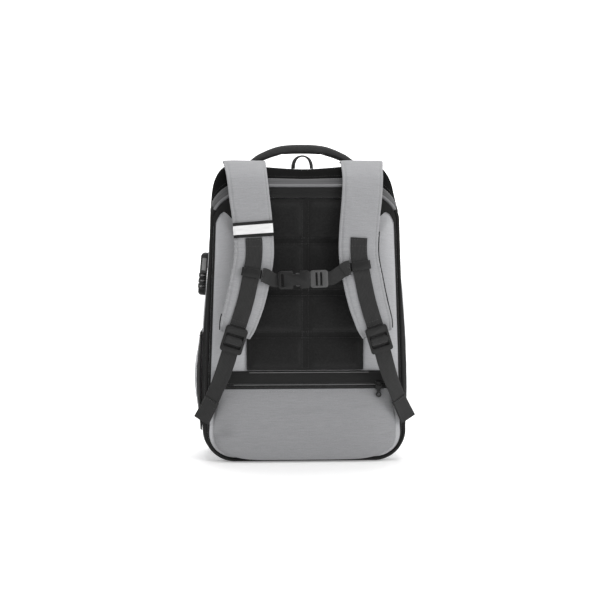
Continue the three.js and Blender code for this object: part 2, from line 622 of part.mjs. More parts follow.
// The strap's frame at a height on its hanging part.
function strapFrameAt(frames, z) {
  const next = frames.findIndex((f, i) => i > 0 && f.p.z <= z && frames[i - 1].p.z > z);
  const a = frames[next - 1];
  const b = frames[next];
  const t = (a.p.z - z) / (a.p.z - b.p.z);
  const mix = (key) => a[key].clone().lerp(b[key], t);
  const turned = { p: mix("p"), tangent: mix("tangent").normalize(), across: mix("across").normalize() };
  const normal = turned.tangent.clone().cross(turned.across).normalize();
  return { ...turned, normal, half: lerp(a.half, b.half, t), thick: lerp(a.thick, b.thick, t) };
}
const heightsBetween = (high, low, n) => Array.from({ length: n + 1 }, (_, i) => lerp(high, low, i / n));

function buildStrap(side, sign) {
  const frames = strapFrames(sign);
  const rings = frames.map((f) => paddedSection(f, f.half, f.thick));
  addPiece(groups.harness, `shoulder_strap_${side}`, loft(rings), "grey_cloth");
  buildStrapWebbing(side, frames);
  return frames;
}

// Webbing sewn down the strap: it lifts over the chest slider's lips and ends behind the ladder lock.
function buildStrapWebbing(side, frames) {
  const clip = CLIP_HEIGHT[side];
  const low = LADDER_HEIGHT + 14;
  const rings = heightsBetween(WEBBING_TOP - 3, low, 22).map((z) => {
    const f = strapFrameAt(frames, z);
    const lift = (CLIP.lip + GAP) * Math.exp(-(((z - clip) / 15) ** 4));
    const seat = inFrame(f, 0, f.thick / 2 + SEAT + lift + WEBBING.thick / 2);
    return flatSection({ ...f, p: seat }, WEBBING.half, WEBBING.thick);
  });
  addPiece(groups.harness, `strap_webbing_${side}`, loft(rings), "webbing");
}

// A band round the face of the strap, following its padded section.
function buildReflectiveBand(frames) {
  const thick = 1.2;
  for (const stripe of BAND_STRIPES) {
    const grid = (offset) =>
      heightsBetween(stripe.high, stripe.low, 3).map((z) => {
        const f = strapFrameAt(frames, z);
        return Array.from({ length: 9 }, (_, i) => {
          const u = i / 4 - 1;
          const drop = 1.2 * u ** 8;
          return inFrame(f, u * (f.half - 0.5), f.thick / 2 + SEAT + offset - drop);
        });
      });
    addPiece(groups.harness, stripe.name, sheetBetween(grid(thick), grid(0)), stripe.colour);
  }
}

// Frame of the ladder lock, lying on the strap's lower end.
function ladderFrame(frames) {
  const f = strapFrameAt(frames, LADDER_HEIGHT + 10);
  const lift = f.thick / 2 + SEAT + WEBBING.thick + LADDER.seat + LADDER.depth / 2;
  return { ...f, p: inFrame(f, 0, lift, 10) };
}
const basisOf = (across, up, out) => new THREE.Matrix4().makeBasis(across, up, out);

function buildLadderLock(side, frames) {
  const f = ladderFrame(frames);
  const outline = roundedRectangle(2 * LADDER.half, LADDER.length, LADDER.corner);
  const slotWidth = 2 * (LADDER.half - LADDER.cheek);
  outline.holes.push(...LADDER_SLOTS.map(({ low, high }) =>
    roundedRectangle(slotWidth, high - low, LADDER.slotCorner, 0, (low + high) / 2)));
  const plate = extrude(outline, LADDER.depth).translate(0, 0, -LADDER.depth / 2);
  const lock = addPiece(groups.harness, `ladder_lock_${side}`, plate, "plastic");
  lock.position.copy(f.p);
  lock.setRotationFromMatrix(basisOf(f.across, f.tangent.clone().negate(), f.normal));
  return f;
}

// Webbing from the ladder lock to the tab at the lower corner, turning to face the side.
function buildLowerWebbing(side, sign, lock) {
  const placed = ({ x, y, z }) => V(sign * x, y, z);
  const tabTop = placed(TAB_TOP);
  const threaded = THREADING.map(({ up, out }) => inFrame(lock, 0, out, -up));
  const line = throughPoints([...threaded, placed(WEBBING_PASS), tabTop]);
  const steps = 40;
  const points = line.getPoints(steps);
  const facing = V(sign * 0.55, -1, 0.1).normalize();
  const hints = points.map((p, i) => {
    const turn = clamp((lock.p.z - 25 - p.z) / 50, 0, 1);
    const flat = points[Math.min(steps, i + 1)].clone().sub(points[Math.max(0, i - 1)]).normalize();
    const square = flat.clone().cross(lock.across);
    return turn > 0 ? lock.normal.clone().lerp(facing, turn) : square;
  });
  const rings = framesAlong(points, hints).map((f) => flatSection(f, WEBBING.half, WEBBING.thick));
  addPiece(groups.harness, `lower_webbing_${side}`, loft(rings), "webbing");

  const leave = tabTop.clone().sub(points.at(-2)).normalize();
  const past = (distance) => tabTop.clone().addScaledVector(leave, distance);
  const tabRoute = [past(2 * GAP), past(5), placed(TAB_BEND), placed(TAB_END)];
  const towardsSide = [V(sign * 0.4, -0.92, 0.05), V(sign * 0.25, -0.97, 0)];
  const tabFaces = [hints.at(-1), hints.at(-1), ...towardsSide];
  const tabPoints = throughPoints(tabRoute).getPoints(12);
  const tabHints = throughPoints(tabFaces).getPoints(12).map((h) => h.normalize());
  const tabRings = framesAlong(tabPoints, tabHints).map((f) => flatSection(f, TAB.half, TAB.thick));
  addPiece(groups.harness, `corner_tab_${side}`, loft(tabRings), "webbing");
}

// Clip that slides on the strap webbing: a C-shaped channel with lips behind the webbing.
function buildClip(side, frames) {
  const f = strapFrameAt(frames, CLIP_HEIGHT[side]);
  const seat = f.thick / 2 + SEAT + CLIP.lip + GAP;
  const { play, wall } = CLIP;
  const inner = WEBBING.half + play;
  const outer = inner + wall;
  const back = -play - wall + 0.6;
  const face = WEBBING.thick + play;
  const shape = new THREE.Shape([
    [-outer, back], [4 - inner, back], [4 - inner, -play], [-inner, -play], [-inner, face], [inner, face],
    [inner, -play], [inner - 4, -play], [inner - 4, back], [outer, back],
    [outer, face + 1], [outer - 2, face + 3], [2 - outer, face + 3], [-outer, face + 1],
  ].map(([x, y]) => new THREE.Vector2(x, y)));
  const channel = extrude(shape, CLIP.length).translate(0, 0, -CLIP.length / 2);
  const clip = addPiece(groups.harness, `sternum_slider_${side}`, channel, "plastic");
  clip.position.copy(inFrame(f, 0, seat));
  clip.setRotationFromMatrix(basisOf(f.across, f.normal, f.tangent));
  return { f, edge: outer, seat };
}

// Chest strap: webbing on each side and a side-release buckle.
function buildChestStrap(clips) {
  const turn = degToRad(BUCKLE.tilt);
  const along = V(Math.cos(turn), 0, Math.sin(turn));
  const middle = V(BUCKLE.x, BUCKLE.y, BUCKLE.z);
  const onBuckle = (distance) => middle.clone().addScaledVector(along, distance);
  const ends = { left: onBuckle(-BUCKLE.length / 2), right: onBuckle(BUCKLE.length / 2 + BUCKLE.plug) };
  for (const [side, sign] of [["left", -1], ["right", 1]]) {
    const { f, edge, seat } = clips[side];
    const fromClip = (distance) => inFrame(f, -sign * (edge + distance), seat + 3.4);
    const fromBuckle = (distance) => ends[side].clone().addScaledVector(along, sign * distance);
    const route = [fromClip(2 * GAP), fromClip(5), fromBuckle(5), fromBuckle(2 * GAP)];
    const points = throughPoints(route).getPoints(12);
    const ways = framesAlong(points, points.map(() => V(0, -1, 0)));
    const rings = ways.map((way) => flatSection(way, CHEST.half, CHEST.thick));
    addPiece(groups.harness, `sternum_webbing_${side}`, loft(rings), "webbing");
  }
  buildBuckle(middle, turn);
}

function buildBuckle(middle, turn) {
  const { length, half, depth, wall, plug } = BUCKLE;
  const place = (mesh) => {
    mesh.position.copy(middle);
    mesh.rotation.y = -turn;
  };
  const lay = (shape, thick) => extrude(shape, thick).rotateX(Math.PI / 2).translate(0, thick / 2, 0);
  const shell = lay(roundedRectangle(length, 2 * half, 5), depth);
  const [hollowY, hollowZ] = [depth / 2 - wall, half - wall - 1];
  const cavity = block(-length / 2 + 12, length / 2 + 1, -hollowY, hollowY, -hollowZ, hollowZ);
  const window = block(-2, 9, -depth, depth, -half - 1, half + 1);
  const windowShift = 2 * half - 4;
  const openSides = [windowShift, -windowShift].map((shift) => window.clone().translate(0, 0, shift));
  const eye = block(-length / 2 + 4, -length / 2 + 8, -depth, depth, -half + 4, half - 4);
  place(addPiece(groups.harness, "buckle_socket", cutAway(shell, cavity, ...openSides, eye), "plastic"));

  const inner = hollowY - GAP;
  const headLength = plug - GAP;
  const headMiddle = length / 2 + GAP + headLength / 2;
  const head = lay(roundedRectangle(headLength, 2 * half - 1, 4, headMiddle), depth - 2);
  const prong = (z0, z1, reach) => block(length / 2 - reach, length / 2 + 4, -inner, inner, z0, z1);
  const rail = hollowZ - GAP;
  const prongs = [prong(-rail, -rail + 4.5, 21), prong(rail - 4.5, rail, 21), prong(-1.6, 1.6, 16)];
  const gapHalf = half - 3.5;
  const gaps = [8, 15].map((at) => length / 2 + at)
    .map((x) => block(x, x + 3.2, -depth, depth, -gapHalf, gapHalf));
  place(addPiece(groups.harness, "buckle_plug", cutAway(joined(head, ...prongs), ...gaps), "plastic"));
}

// Top

function buildHandle() {
  const whole = [...HANDLE.map((row) => ({ ...row, x: -row.x })), ...HANDLE.slice(0, -1).reverse()];
  const seat = (x) => Math.max(...[-1, 0, 1].map((side) => topHeight(x, HANDLE_Y + side * HANDLE[0].half)));
  const rows = whole.map((row) => ({ ...row, z: seat(row.x) + row.lift }));
  const line = curveOf(rows.map((row) => ({ ...row, y: HANDLE_Y })), "x", "y", "z");
  const sizes = curveOf(rows, "half", "thick");
  const steps = 20;
  const shares = Array.from({ length: steps + 1 }, (_, i) => i / steps);
  const hints = shares.map((t) => V(0, HANDLE_LEAN * (2 * t - 1) ** 4, 1));
  const frames = framesAlong(shares.map((t) => line.getPoint(t)), hints);
  const rings = frames.map((f, i) => {
    const { x: half, y: thick } = sizes.getPoint(shares[i]);
    return paddedSection(f, half, thick);
  });
  addPiece(groups.top, "carry_handle", loft(rings), "black_cloth");
}

function buildLoop() {
  const steps = 16;
  const foot = topHeight(0, LOOP.y) + SEAT;
  const points = Array.from({ length: steps + 1 }, (_, i) => {
    const angle = Math.PI * (1 - i / steps);
    return V(LOOP.span * Math.cos(angle), LOOP.y, foot + LOOP.rise * Math.sin(angle) ** 0.8);
  });
  const hints = points.map((p) => V(p.x, 0, p.z - foot + 0.01));
  const rings = framesAlong(points, hints).map((f) => flatSection(f, LOOP.half, LOOP.thick));
  addPiece(groups.top, "hang_loop", loft(rings), "webbing");
}

// Combination lock on the left side: its dials turn on an axis along it, at the edge that faces the straps.
function buildLock() {
  const frame = leftWallFrame(LOCK.y, LOCK.z);
  groups.lock.position.copy(frame.p).addScaledVector(frame.out, LOCK.seat);
  groups.lock.setRotationFromMatrix(basisOf(frame.deep, frame.out, frame.up));
  const shell = extrude(roundedRectangle(LOCK.width, LOCK.length, LOCK.corner), LOCK.depth);
  const profile = extrude(roundedRectangle(2 * LOCK.depth, LOCK.length, LOCK.shoulder), LOCK.width);
  const rounding = profile.translate(0, 0, -LOCK.width / 2).rotateX(Math.PI / 2).rotateZ(Math.PI / 2);
  const body = shared(shell.rotateX(Math.PI / 2).translate(0, LOCK.depth, 0), rounding);
  const heights = [0, 1, 2].map((i) => DIAL.first + i * DIAL.pitch);
  const slots = heights.map((z) => {
    const reach = DIAL.radius + GAP;
    const low = z - DIAL.height / 2 - GAP;
    const [near, far] = [-LOCK.width / 2 - 1, DIAL.axisSide + reach];
    return block(near, far, DIAL.axisDepth - reach, LOCK.depth + 1, low, low + DIAL.height + 2 * GAP);
  });
  addPiece(groups.lock, "lock_body", cutAway(body, ...slots), "lock");
  heights.forEach((z, i) => {
    const wheel = new THREE.CylinderGeometry(DIAL.radius, DIAL.radius, DIAL.height, DIAL.sides);
    const dial = addPiece(groups.lock, `lock_dial_${i + 1}`, wheel.rotateX(Math.PI / 2), "lock");
    dial.position.set(DIAL.axisSide, DIAL.axisDepth, z);
  });
}

// Assembly

buildWalls();
buildFront();
buildBackPanel();
buildPiping();
buildYoke();
buildPad();
buildPocket();
buildZipPull();
buildBottlePocket();
const clips = {};
for (const [side, sign] of [["left", -1], ["right", 1]]) {
  const frames = buildStrap(side, sign);
  if (side === "left") buildReflectiveBand(frames);
  const lock = buildLadderLock(side, frames);
  buildLowerWebbing(side, sign, lock);
  clips[side] = buildClip(side, frames);
}
buildChestStrap(clips);
buildHandle();
buildLoop();
buildLock();

export default backpack;
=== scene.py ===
"""Laptop backpack standing on its base: cloth, padding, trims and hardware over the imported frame.

Sizes are millimetres in the frame's own axes, with +Z up and the straps towards -Y. They become metres
where a mesh is made. Left is -X, as seen by someone facing the straps.
"""
import json
import math
from collections import namedtuple

import bmesh
import bpy
import numpy as np
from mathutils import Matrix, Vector, noise
from mathutils.bvhtree import BVHTree


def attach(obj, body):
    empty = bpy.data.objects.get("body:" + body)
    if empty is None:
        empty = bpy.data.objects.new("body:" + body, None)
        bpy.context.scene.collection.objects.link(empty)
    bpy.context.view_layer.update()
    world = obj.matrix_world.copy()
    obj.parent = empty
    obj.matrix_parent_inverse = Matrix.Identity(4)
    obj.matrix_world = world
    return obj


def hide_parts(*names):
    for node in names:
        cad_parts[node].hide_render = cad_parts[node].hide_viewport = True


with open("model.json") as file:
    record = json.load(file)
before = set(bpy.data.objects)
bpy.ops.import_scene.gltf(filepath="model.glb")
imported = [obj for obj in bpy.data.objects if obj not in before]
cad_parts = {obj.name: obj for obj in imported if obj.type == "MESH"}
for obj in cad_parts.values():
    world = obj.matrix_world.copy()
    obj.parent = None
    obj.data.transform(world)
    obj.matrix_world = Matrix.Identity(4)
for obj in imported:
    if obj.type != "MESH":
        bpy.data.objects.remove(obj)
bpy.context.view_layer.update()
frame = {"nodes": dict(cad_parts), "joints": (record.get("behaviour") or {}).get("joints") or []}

MM = 0.001

# Driving dimensions of the bag, as its frame has them

WALL = 2.5  # sewn fabric with its foam backing
GAP = 0.4  # clearance between neighbouring pieces
SEAT = 0.7  # clearance under a piece that lies on a curved wall

# Outline across X and Z at each depth Y: height of the base and top, half-widths at the foot and shoulder,
# side bulge, radius of the lower corner, reach of the upper corner across and down, sag of the top.
BODY = {
    -78: (6.5, 422, 150, 139.5, 1, 42, 86, 50, 0),
    -64: (0, 430, 152, 145, 9, 44, 85, 50, 0),
    -48: (0, 438, 151, 145, 11, 46, 75, 50, 1),
    -18: (0, 456, 149, 143.5, 14, 46, 33, 50, 6),
    25: (0, 454, 148, 142, 14, 46, 38, 52, 5),
    60: (2, 432, 143, 136, 11, 46, 56, 56, 0),
    78: (14, 408, 136, 124, 5, 46, 66, 58, 0),
}
BULGE_HEIGHT = 140
BULGE_REACH = 215
BACK_Y = -78
EDGE_ZIP_Y = -64
TOP_STRIP_Y = -48
FRONT_Y = 60
FRONT_RIM_Y = 78  # where the front's rim ends and its crown begins
FRONT_CROWN = 12
BACK_SHEET = 3
BACK_FACE = BACK_Y - GAP - BACK_SHEET
ON_BACK = BACK_FACE - GAP  # inner face of what is sewn on the back
OFF_BACK = -120  # in front of everything that is sewn on the back
INTO_BAG = (0, 1, 0)
PIPING_R = 2.6
BINDING = 3.4  # width of the black edge inside the piping

WING_RISE = 4.2  # how far the back swells between the pad and the piping
PAD = {
    "half": 90, "low": 142, "high": 406.5, "rim": 4.5, "groove": 2.8, "cell": 10, "channel": 5, "seam": 4.6,
    "step": 4.2,
}
PAD_CHANNELS = (197, 262, 341)
YOKE_SHEET = 1.6
YOKE_ROLL = 4.2  # how far its lower edge rolls out over the pad
# Lower edge of the black top of the back, right half, from beside the wing to the middle: X, Z, and the
# height on the back's outline that the point is joined to.
YOKE = (
    (138.5, 362, 362), (134, 374, 374), (129.5, 382, 381), (123, 386, 388),
    (116, 380, 393), (90.4, 349, 401), (90.4, 406.9, 415.5), (0, 406.9, 422),
)
BAND = {"half": 139, "low": 119, "high": 141, "sheet": 2.4}
# Pale cords that paint the highlights on the band's rolled edges: height, and where each starts and ends
# across
BAND_HIGHLIGHT_CORDS = (("band_upper_highlight_cord", 139, -86, 98), ("band_lower_highlight_cord", 120, -110, 112))
ZIP = {"left": -127, "right": 134, "low": 113.6, "high": 118.4, "sheet": 1.2}

# Lower pocket: height, half-width, how far the cloth stands off the back, and how far it hangs down there.
POCKET = (
    (113, 128, 0, 0),
    (101, 132, 4.5, 0),
    (76, 138.5, 10, 0),
    (52, 140.5, 12.5, 0),
    (28, 138, 12.5, 2),
    (17, 129, 11, 6),
    (13, 119, 8, 8),
    (12, 110, 5, 7),
    (12, 106, 0, 0),
)
POCKET_SHEET = 2

# Shoulder strap on the right from its seam on the top to its lower end: X, Y, Z, half-width, thickness.
STRAP = (
    (92, 2, 461, 34, 6),
    (92, -20, 463.4, 34, 6.5),
    (90, -54, 451.5, 32.5, 8),
    (88, -85, 434, 31.5, 9),
    (85, -102, 405, 31, 11),
    (81, -110, 370, 30.5, 11),
    (79, -116, 320, 30.5, 11),
    (85.5, -119, 281, 30.5, 11),
    (92.5, -119, 250, 30, 11),
    (103, -117, 216, 28, 10),
    (108, -115.5, 200, 24, 8),
)
SIDES = {"left": -1, "right": 1}
WEBBING = {"half": 12.5, "thick": 1.6, "top": 346, "low": 208}
# Reflective band and its black edges on the left strap: node, upper and lower height
STRIPES = {
    "upper_edge": ("reflective_edge_upper", 370, 365.6),
    "band": ("reflective_band", 365.3, 352),
    "lower_edge": ("reflective_edge_lower", 351.7, 347.3),
}
LADDER = {"height": 194, "depth": 4.2, "seat": 1.3, "reach": 10}
# Webbing behind the ladder lock: heights from the lock's middle, half-width, thickness, distance behind it
# at the top, and how much further back it lies at its lower end
LADDER_HOLDER = {"high": 16, "low": -13, "half": 14.5, "thick": 0.8, "behind": 1.2, "fall": 3.2}
# How the lower webbing threads the ladder lock: height from its middle, and distance out of its plane.
THREADING = (
    (3.6, -1.6), (3.1, 0.6), (1.7, 2.9), (-0.6, 3.5), (-3, 3.4), (-5.2, 2.4), (-6.2, 0), (-8.2, -2.6),
    (-12, -4), (-20, -4.4),
)
WEBBING_PASS = (126, -110, 142)
WEBBING_FACING = (0.55, -1, 0.1)  # where the lower webbing looks once it has turned, on the right
WEBBING_TURN = (25, 50)  # how far below the ladder lock the turn starts, and how long it takes
TAB_TOP = (143, -97, 100)
TAB_BEND = (151.5, -90.5, 82)
TAB_END = (159.5, -83.8, 66)
TAB_FACINGS = ((0.4, -0.92, 0.05), (0.25, -0.97, 0))  # where it looks at its bend and its end
TAB = {"half": 13, "thick": 4}
CLIP_HEIGHT = {"left": 294, "right": 304}
# Chest slider: wall, lip under the webbing, play beside it, and how far over the lip the chest strap meets it
CLIP = {"wall": 2, "lip": 2.4, "play": 0.6, "meets": 3.4}
CHEST = {"half": 10, "thick": 1.6, "keeper": 13, "keeper_thick": 4.2}
BUCKLE = {"x": -19, "y": -127, "z": 284, "tilt": 2, "length": 48, "plug": 27}

# Handle on the top, right half: X, lift over the top, half-width, thickness.
HANDLE_Y = 22
HANDLE_LEAN = 0.2
HANDLE_SIDES = 24
HANDLE_SEWN = 12  # rings at each end that are sewn down
HANDLE_STUFFING = 1.8
HANDLE = ((94, -0.4, 13, 3), (83, 5, 13, 5), (67, 15, 12.5, 9), (36, 29, 12, 11), (0, 33, 12, 11.5))
LOOP = {"y": 0, "half": 5, "folded": 2.6, "span": 14.5, "rise": 20, "twist": 24}
# The face and the groove are shares of the radius, and the paint lies a distance off the face
DIAL = {
    "radius": 5.2, "height": 6.6, "digits": 10, "sides": 80, "face": 0.985, "groove": 0.06, "paint": 0.06,
    "digit_tall": 2.3, "digit_wide": 3.2,
}
# Half of a dial's section: share of its radius, and share of its half-height
DIAL_SECTION = ((0, 1), (0.8, 1), (0.95, 0.93), (DIAL["face"], 0.8))
# From the first dial's middle to the lock's trim: height of that dial, how far out and towards the straps,
# and the trim's own thickness and edge
LOCK = {"first": -19, "reach": -1.7, "near": 5.5, "trim": 1.2, "edge": 0.5}

BOTTLE = {
    "low": 48, "high": 197, "seat": 1.1, "puff": 6.4, "sheet": 1.8, "hem": 3, "gusset_y": -45, "dip": 8,
    "gusset_rows": 18,
}
BOTTLE_Y = (-64.5, -48, -30, -10, 10, 30, 45)
BOTTLE_PUFF_ACROSS = (0, 0.55, 0.95, 1, 1, 0.7, 0)
BOTTLE_PUFF_DOWN = (0.1, 0.42, 0.76, 1, 1, 0.85, 0.55, 0.25, 0)

# Sewing and cloth behaviour
SEAM_TUCK = 0.9  # how far a panel is drawn in along its seams
SEAM_REACH = 2.4
SEAM_STEPS = (0, 0.7, 1.6, 2.8)  # of a wall's grid lines beside its seams
SEAM_ROOM = 4.5  # from a wall's edge to where its even steps begin
WALL_STEP = 3  # between the other grid lines of a wall
CORD_STEP = 3  # between the rings of a cord
CREASE = 50  # edges that bend by more degrees are not smoothed
# Rows of stitches and zip coils: pitch, and each one's size along the row, across it and out of the cloth
STITCH = {"Pitch": 3.8, "Along": 2.6, "Across": 0.55, "Height": 0.55}
EDGE_COIL = {"Pitch": 2.0, "Along": 1.5, "Across": 4.6, "Height": 1.6}
POCKET_COIL = {"Pitch": 1.7, "Along": 1.3, "Across": 4.2, "Height": 1.6}
# Swelling of the padded pieces: pressure, and how far a point may move
SWELL = {"pad": (5.0, 3.5), "strap": (4.0, 2.0), "handle": (4.0, 1.2)}
SIMULATED_FRAMES = 20

# Camera: the photograph's centre line meets the back of the bag here
VIEW_CENTRE = (-7.75, -81, 250.3)
VIEW_AZIMUTH = -3
VIEW_ELEVATION = 4
VIEW_DISTANCE = 2200
VIEW_WIDTH = 921  # what the picture spans at the back of the bag
SKY = 0.4  # strength of the light from all round
# Lights, in metres and watts: place, power and size
LIGHTS = {
    "top_light": ((0.3, -0.9, 2.6), 22, 2.0),
    "back_light": ((0.0, 0.8, 2.8), 40, 1.6),
    "key_light": ((2.1, -2.3, 1.2), 40, 1.4),
    "fill_light": ((-1.9, -2.2, 0.9), 4, 1.6),
}
LIGHTS_AIM = (0, 0, 0.22)
ROOM = {"half": 9000, "front": -4000, "back": 5000, "high": 6000}


# Small helpers


def unit(vectors):
    return vectors / np.linalg.norm(vectors, axis=-1, keepdims=True)


def ease(low, high, value):
    """Rises smoothly from 0 at low to 1 at high."""
    share = np.clip((value - low) / (high - low), 0, 1)
    return share * share * (3 - 2 * share)


def bell(value, middle, reach):
    return np.exp(-(((value - middle) / reach) ** 2))


def waves(points, size, seed):
    """Smooth noise between about -1 and 1 at each point, with bumps of the given size along X, Y and Z."""
    spots = np.asarray(points, float).reshape(-1, 3) / size + seed * np.array([3.7, 11.3, 7.1])
    return np.array([noise.noise(spot) for spot in spots.tolist()]).reshape(np.shape(points)[:-1])


def stacked(x, y, z):
    """Points from coordinates that may be single numbers."""
    return np.stack(np.broadcast_arrays(x, y, z), axis=-1).astype(float)


def mirrored(point, sign):
    return np.array([sign * point[0], point[1], point[2]], float)


# Smooth lines and frames along them

Way = namedtuple("Way", "place along across out")


def smooth_line(points, shares):
    """Points on a centripetal curve through the given ones, at shares of the way along their list."""
    knots = np.asarray(points, float)
    ends = [2 * knots[0] - knots[1], 2 * knots[-1] - knots[-2]]
    knots = np.vstack([ends[0], knots, ends[1]])
    found = []
    for share in shares:
        at = share * (len(knots) - 3)
        first = min(int(at), len(knots) - 4)
        t = at - first
        p0, p1, p2, p3 = knots[first:first + 4]
        d0, d1, d2 = (max(np.linalg.norm(b - a) ** 0.5, 1e-4) for a, b in ((p0, p1), (p1, p2), (p2, p3)))
        leave = ((p1 - p0) / d0 - (p2 - p0) / (d0 + d1) + (p2 - p1) / d1) * d1
        reach = ((p2 - p1) / d1 - (p3 - p1) / (d1 + d2) + (p3 - p2) / d2) * d1
        cubic = 2 * p1 - 2 * p2 + leave + reach
        square = -3 * p1 + 3 * p2 - 2 * leave - reach
        found.append(cubic * t**3 + square * t**2 + leave * t + p1)
    return np.array(found)


def steps_along(points):
    """From each point's neighbour before it to the one after it."""
    return np.vstack([points[1:], points[-1:]]) - np.vstack([points[:1], points[:-1]])


def frames_along(points, hints):
    """A way: places, directions along and across, and the outward side near the hints."""
    points = np.asarray(points, float)
    along = unit(steps_along(points))
    across = unit(np.cross(np.broadcast_to(hints, points.shape), along))
    return Way(points, along, across, unit(np.cross(along, across)))


def beside(way, across, out):
    """The points of a way moved across it and out of it, by one distance or one for each point."""
    shift = np.asarray(across)[..., None] * way.across + np.asarray(out)[..., None] * way.out
    return way.place + shift


def lengths_along(points):
    return np.concatenate([[0], np.cumsum(np.linalg.norm(np.diff(points, axis=0), axis=1))])


# The bag's surface

STEPS = {"bottom": 40, "corner": 25, "side": 120, "cap": 36, "top": 18}
HALF = sum(STEPS.values())
AROUND = 2 * HALF
CAP_START = HALF - STEPS["cap"] - STEPS["top"]
COVER_START = CAP_START + 7  # where the grey cover of the back edge begins and ends
BOTTOM_EDGE = STEPS["bottom"] + 2 * STEPS["corner"] // 5
DEPTHS = np.array(sorted(BODY), float)
SECTIONS = np.array([BODY[depth] for depth in sorted(BODY)], float)


def section_at(y):
    """The bag's section values at a depth, on a smooth curve through the rows of BODY."""
    last = len(DEPTHS) - 1
    i = int(np.clip(np.searchsorted(DEPTHS, y, side="right"), 1, last))
    start, stop = DEPTHS[i - 1], DEPTHS[i]
    before = i - 2 if i > 1 else i
    after = i + 1 if i < last else i - 1
    half_step = (stop - start) / 2
    pull = half_step / (start - DEPTHS[before])
    push = half_step / (DEPTHS[after] - stop)
    t = (y - start) / (stop - start)
    values = (
        (-pull * t**3 + 2 * pull * t**2 - pull * t) * SECTIONS[before]
        + ((1 + pull) * t**3 - (1.5 + 2 * pull) * t**2 + (pull - 0.5) * t + 1) * SECTIONS[i - 1]
        + ((-1 - push) * t**3 + (1.5 + push) * t**2 + 0.5 * t) * SECTIONS[i]
        + (push * t**3 - push * t**2) * SECTIONS[after]
    )
    values[[0, -1]] = np.maximum(values[[0, -1]], 0)
    return values


def half_outline(y):
    """The right half of the outline at a depth, from the middle of the base to the middle of the top."""
    base, top, foot, shoulder, bulge, foot_r, cap_x, cap_z, sag = section_at(y)

    def swell(height):
        return bulge * np.maximum(0, 1 - ((height - BULGE_HEIGHT) / BULGE_REACH) ** 2) ** 2

    share = {name: np.arange(1, count + 1) / count for name, count in STEPS.items()}
    quarter = {name: values * math.pi / 2 for name, values in share.items()}
    corner_z = base + foot_r * (1 - np.cos(quarter["corner"]))
    corner_x = foot - foot_r + (foot_r + swell(corner_z)) * np.sin(quarter["corner"])
    side_z = base + foot_r + (top - cap_z - base - foot_r) * share["side"]
    side_x = foot + (shoulder - foot) * share["side"] + swell(side_z)
    edge = shoulder - cap_x
    x = [[0], (foot - foot_r) * share["bottom"], corner_x, side_x]
    x += [edge + cap_x * np.cos(quarter["cap"]), edge * (1 - share["top"])]
    z = [[base], base + 0 * share["bottom"], corner_z, side_z]
    z += [top - cap_z * (1 - np.sin(quarter["cap"])), top - sag * np.sin(quarter["top"]) ** 2]
    return np.concatenate(x), np.concatenate(z)


def outline(y):
    """The closed outline at a depth as (x, z), and the direction out of it at each point."""
    x, z = half_outline(y)
    ring = np.stack([np.concatenate([x, -x[-2:0:-1]]), np.concatenate([z, z[-2:0:-1]])], axis=-1)
    run = np.roll(ring, -1, axis=0) - np.roll(ring, 1, axis=0)
    return ring, unit(np.stack([run[:, 1], -run[:, 0]], axis=-1))


def body_grid(start, stop, depths):
    """Points of the bag's wall and directions out of it: a row for each depth, a column for each step."""
    steps = np.arange(start, stop + 1) % AROUND
    rows = [outline(y) for y in depths]
    points = [stacked(ring[steps, 0], y, ring[steps, 1]) for (ring, _), y in zip(rows, depths)]
    out = [stacked(way[steps, 0], 0, way[steps, 1]) for _, way in rows]
    return np.array(points), np.array(out)


def top_height(x, y):
    """Height of the top of the bag over a point."""
    half_x, half_z = (values[CAP_START:] for values in half_outline(y))
    return np.interp(np.abs(x), half_x[::-1], half_z[::-1])


def wall_x(y, z):
    """Half-width of the bag at a depth and height."""
    half_x, half_z = (values[STEPS["bottom"]:CAP_START + 1] for values in half_outline(y))
    return np.interp(z, half_z, half_x)


def back_half_width(z):
    """Half-width of the back panel at a height."""
    half_x, half_z = (values[STEPS["bottom"]:HALF - STEPS["top"] + 1] for values in half_outline(BACK_Y))
    return np.interp(z, half_z, half_x)


# Meshes


def grid_index(rows, cols, wrap):
    """Numbers of a grid's points, with its first column once more at the end where it wraps round."""
    index = np.arange(rows * cols).reshape(rows, cols)
    return np.hstack([index, index[:, :1]]) if wrap else index


def grid_faces(rows, cols, wrap=False):
    index = grid_index(rows, cols, wrap)
    corners = [index[:-1, :-1], index[:-1, 1:], index[1:, 1:], index[1:, :-1]]
    return np.stack(corners, axis=-1).reshape(-1, 4)


def sheet_faces(rows, cols, wrap=False):
    """Faces of a closed sheet whose points are an outer grid followed by an inner one."""
    count = rows * cols
    index = grid_index(rows, cols, wrap)
    borders = [index[0], index[-1]] + ([] if wrap else [index[:, 0], index[:, -1]])
    rims = [
        np.stack([line[:-1], line[1:], line[1:] + count, line[:-1] + count], axis=-1)
        for line in borders
    ]
    outer = grid_faces(rows, cols, wrap)
    return np.vstack([outer, outer[:, ::-1] + count, *rims])


def tube_faces(rings, sides):
    """Faces of a tube through rings of points, with its two ends closed."""
    walls = grid_faces(rings, sides, wrap=True).tolist()
    ends = [list(range(sides)), list(range((rings - 1) * sides, rings * sides))]
    return walls + ends


def turn_outward(mesh):
    work = bmesh.new()
    work.from_mesh(mesh)
    bmesh.ops.recalc_face_normals(work, faces=work.faces)
    work.to_mesh(mesh)
    work.free()


def smooth(mesh, angle=CREASE):
    mesh.polygons.foreach_set("use_smooth", [True] * len(mesh.polygons))
    mesh.set_sharp_from_angle(angle=math.radians(angle))


def lay_cloth(mesh, spots):
    """Stores where each point lies on the flat cloth, across and along the weave, for its finish."""
    flat = np.zeros((len(mesh.vertices), 3), np.float32)
    flat[:, :2] = np.asarray(spots) * MM
    if "cloth" not in mesh.attributes:
        mesh.attributes.new("cloth", "FLOAT_VECTOR", "POINT")
    mesh.attributes["cloth"].data.foreach_set("vector", flat.ravel())


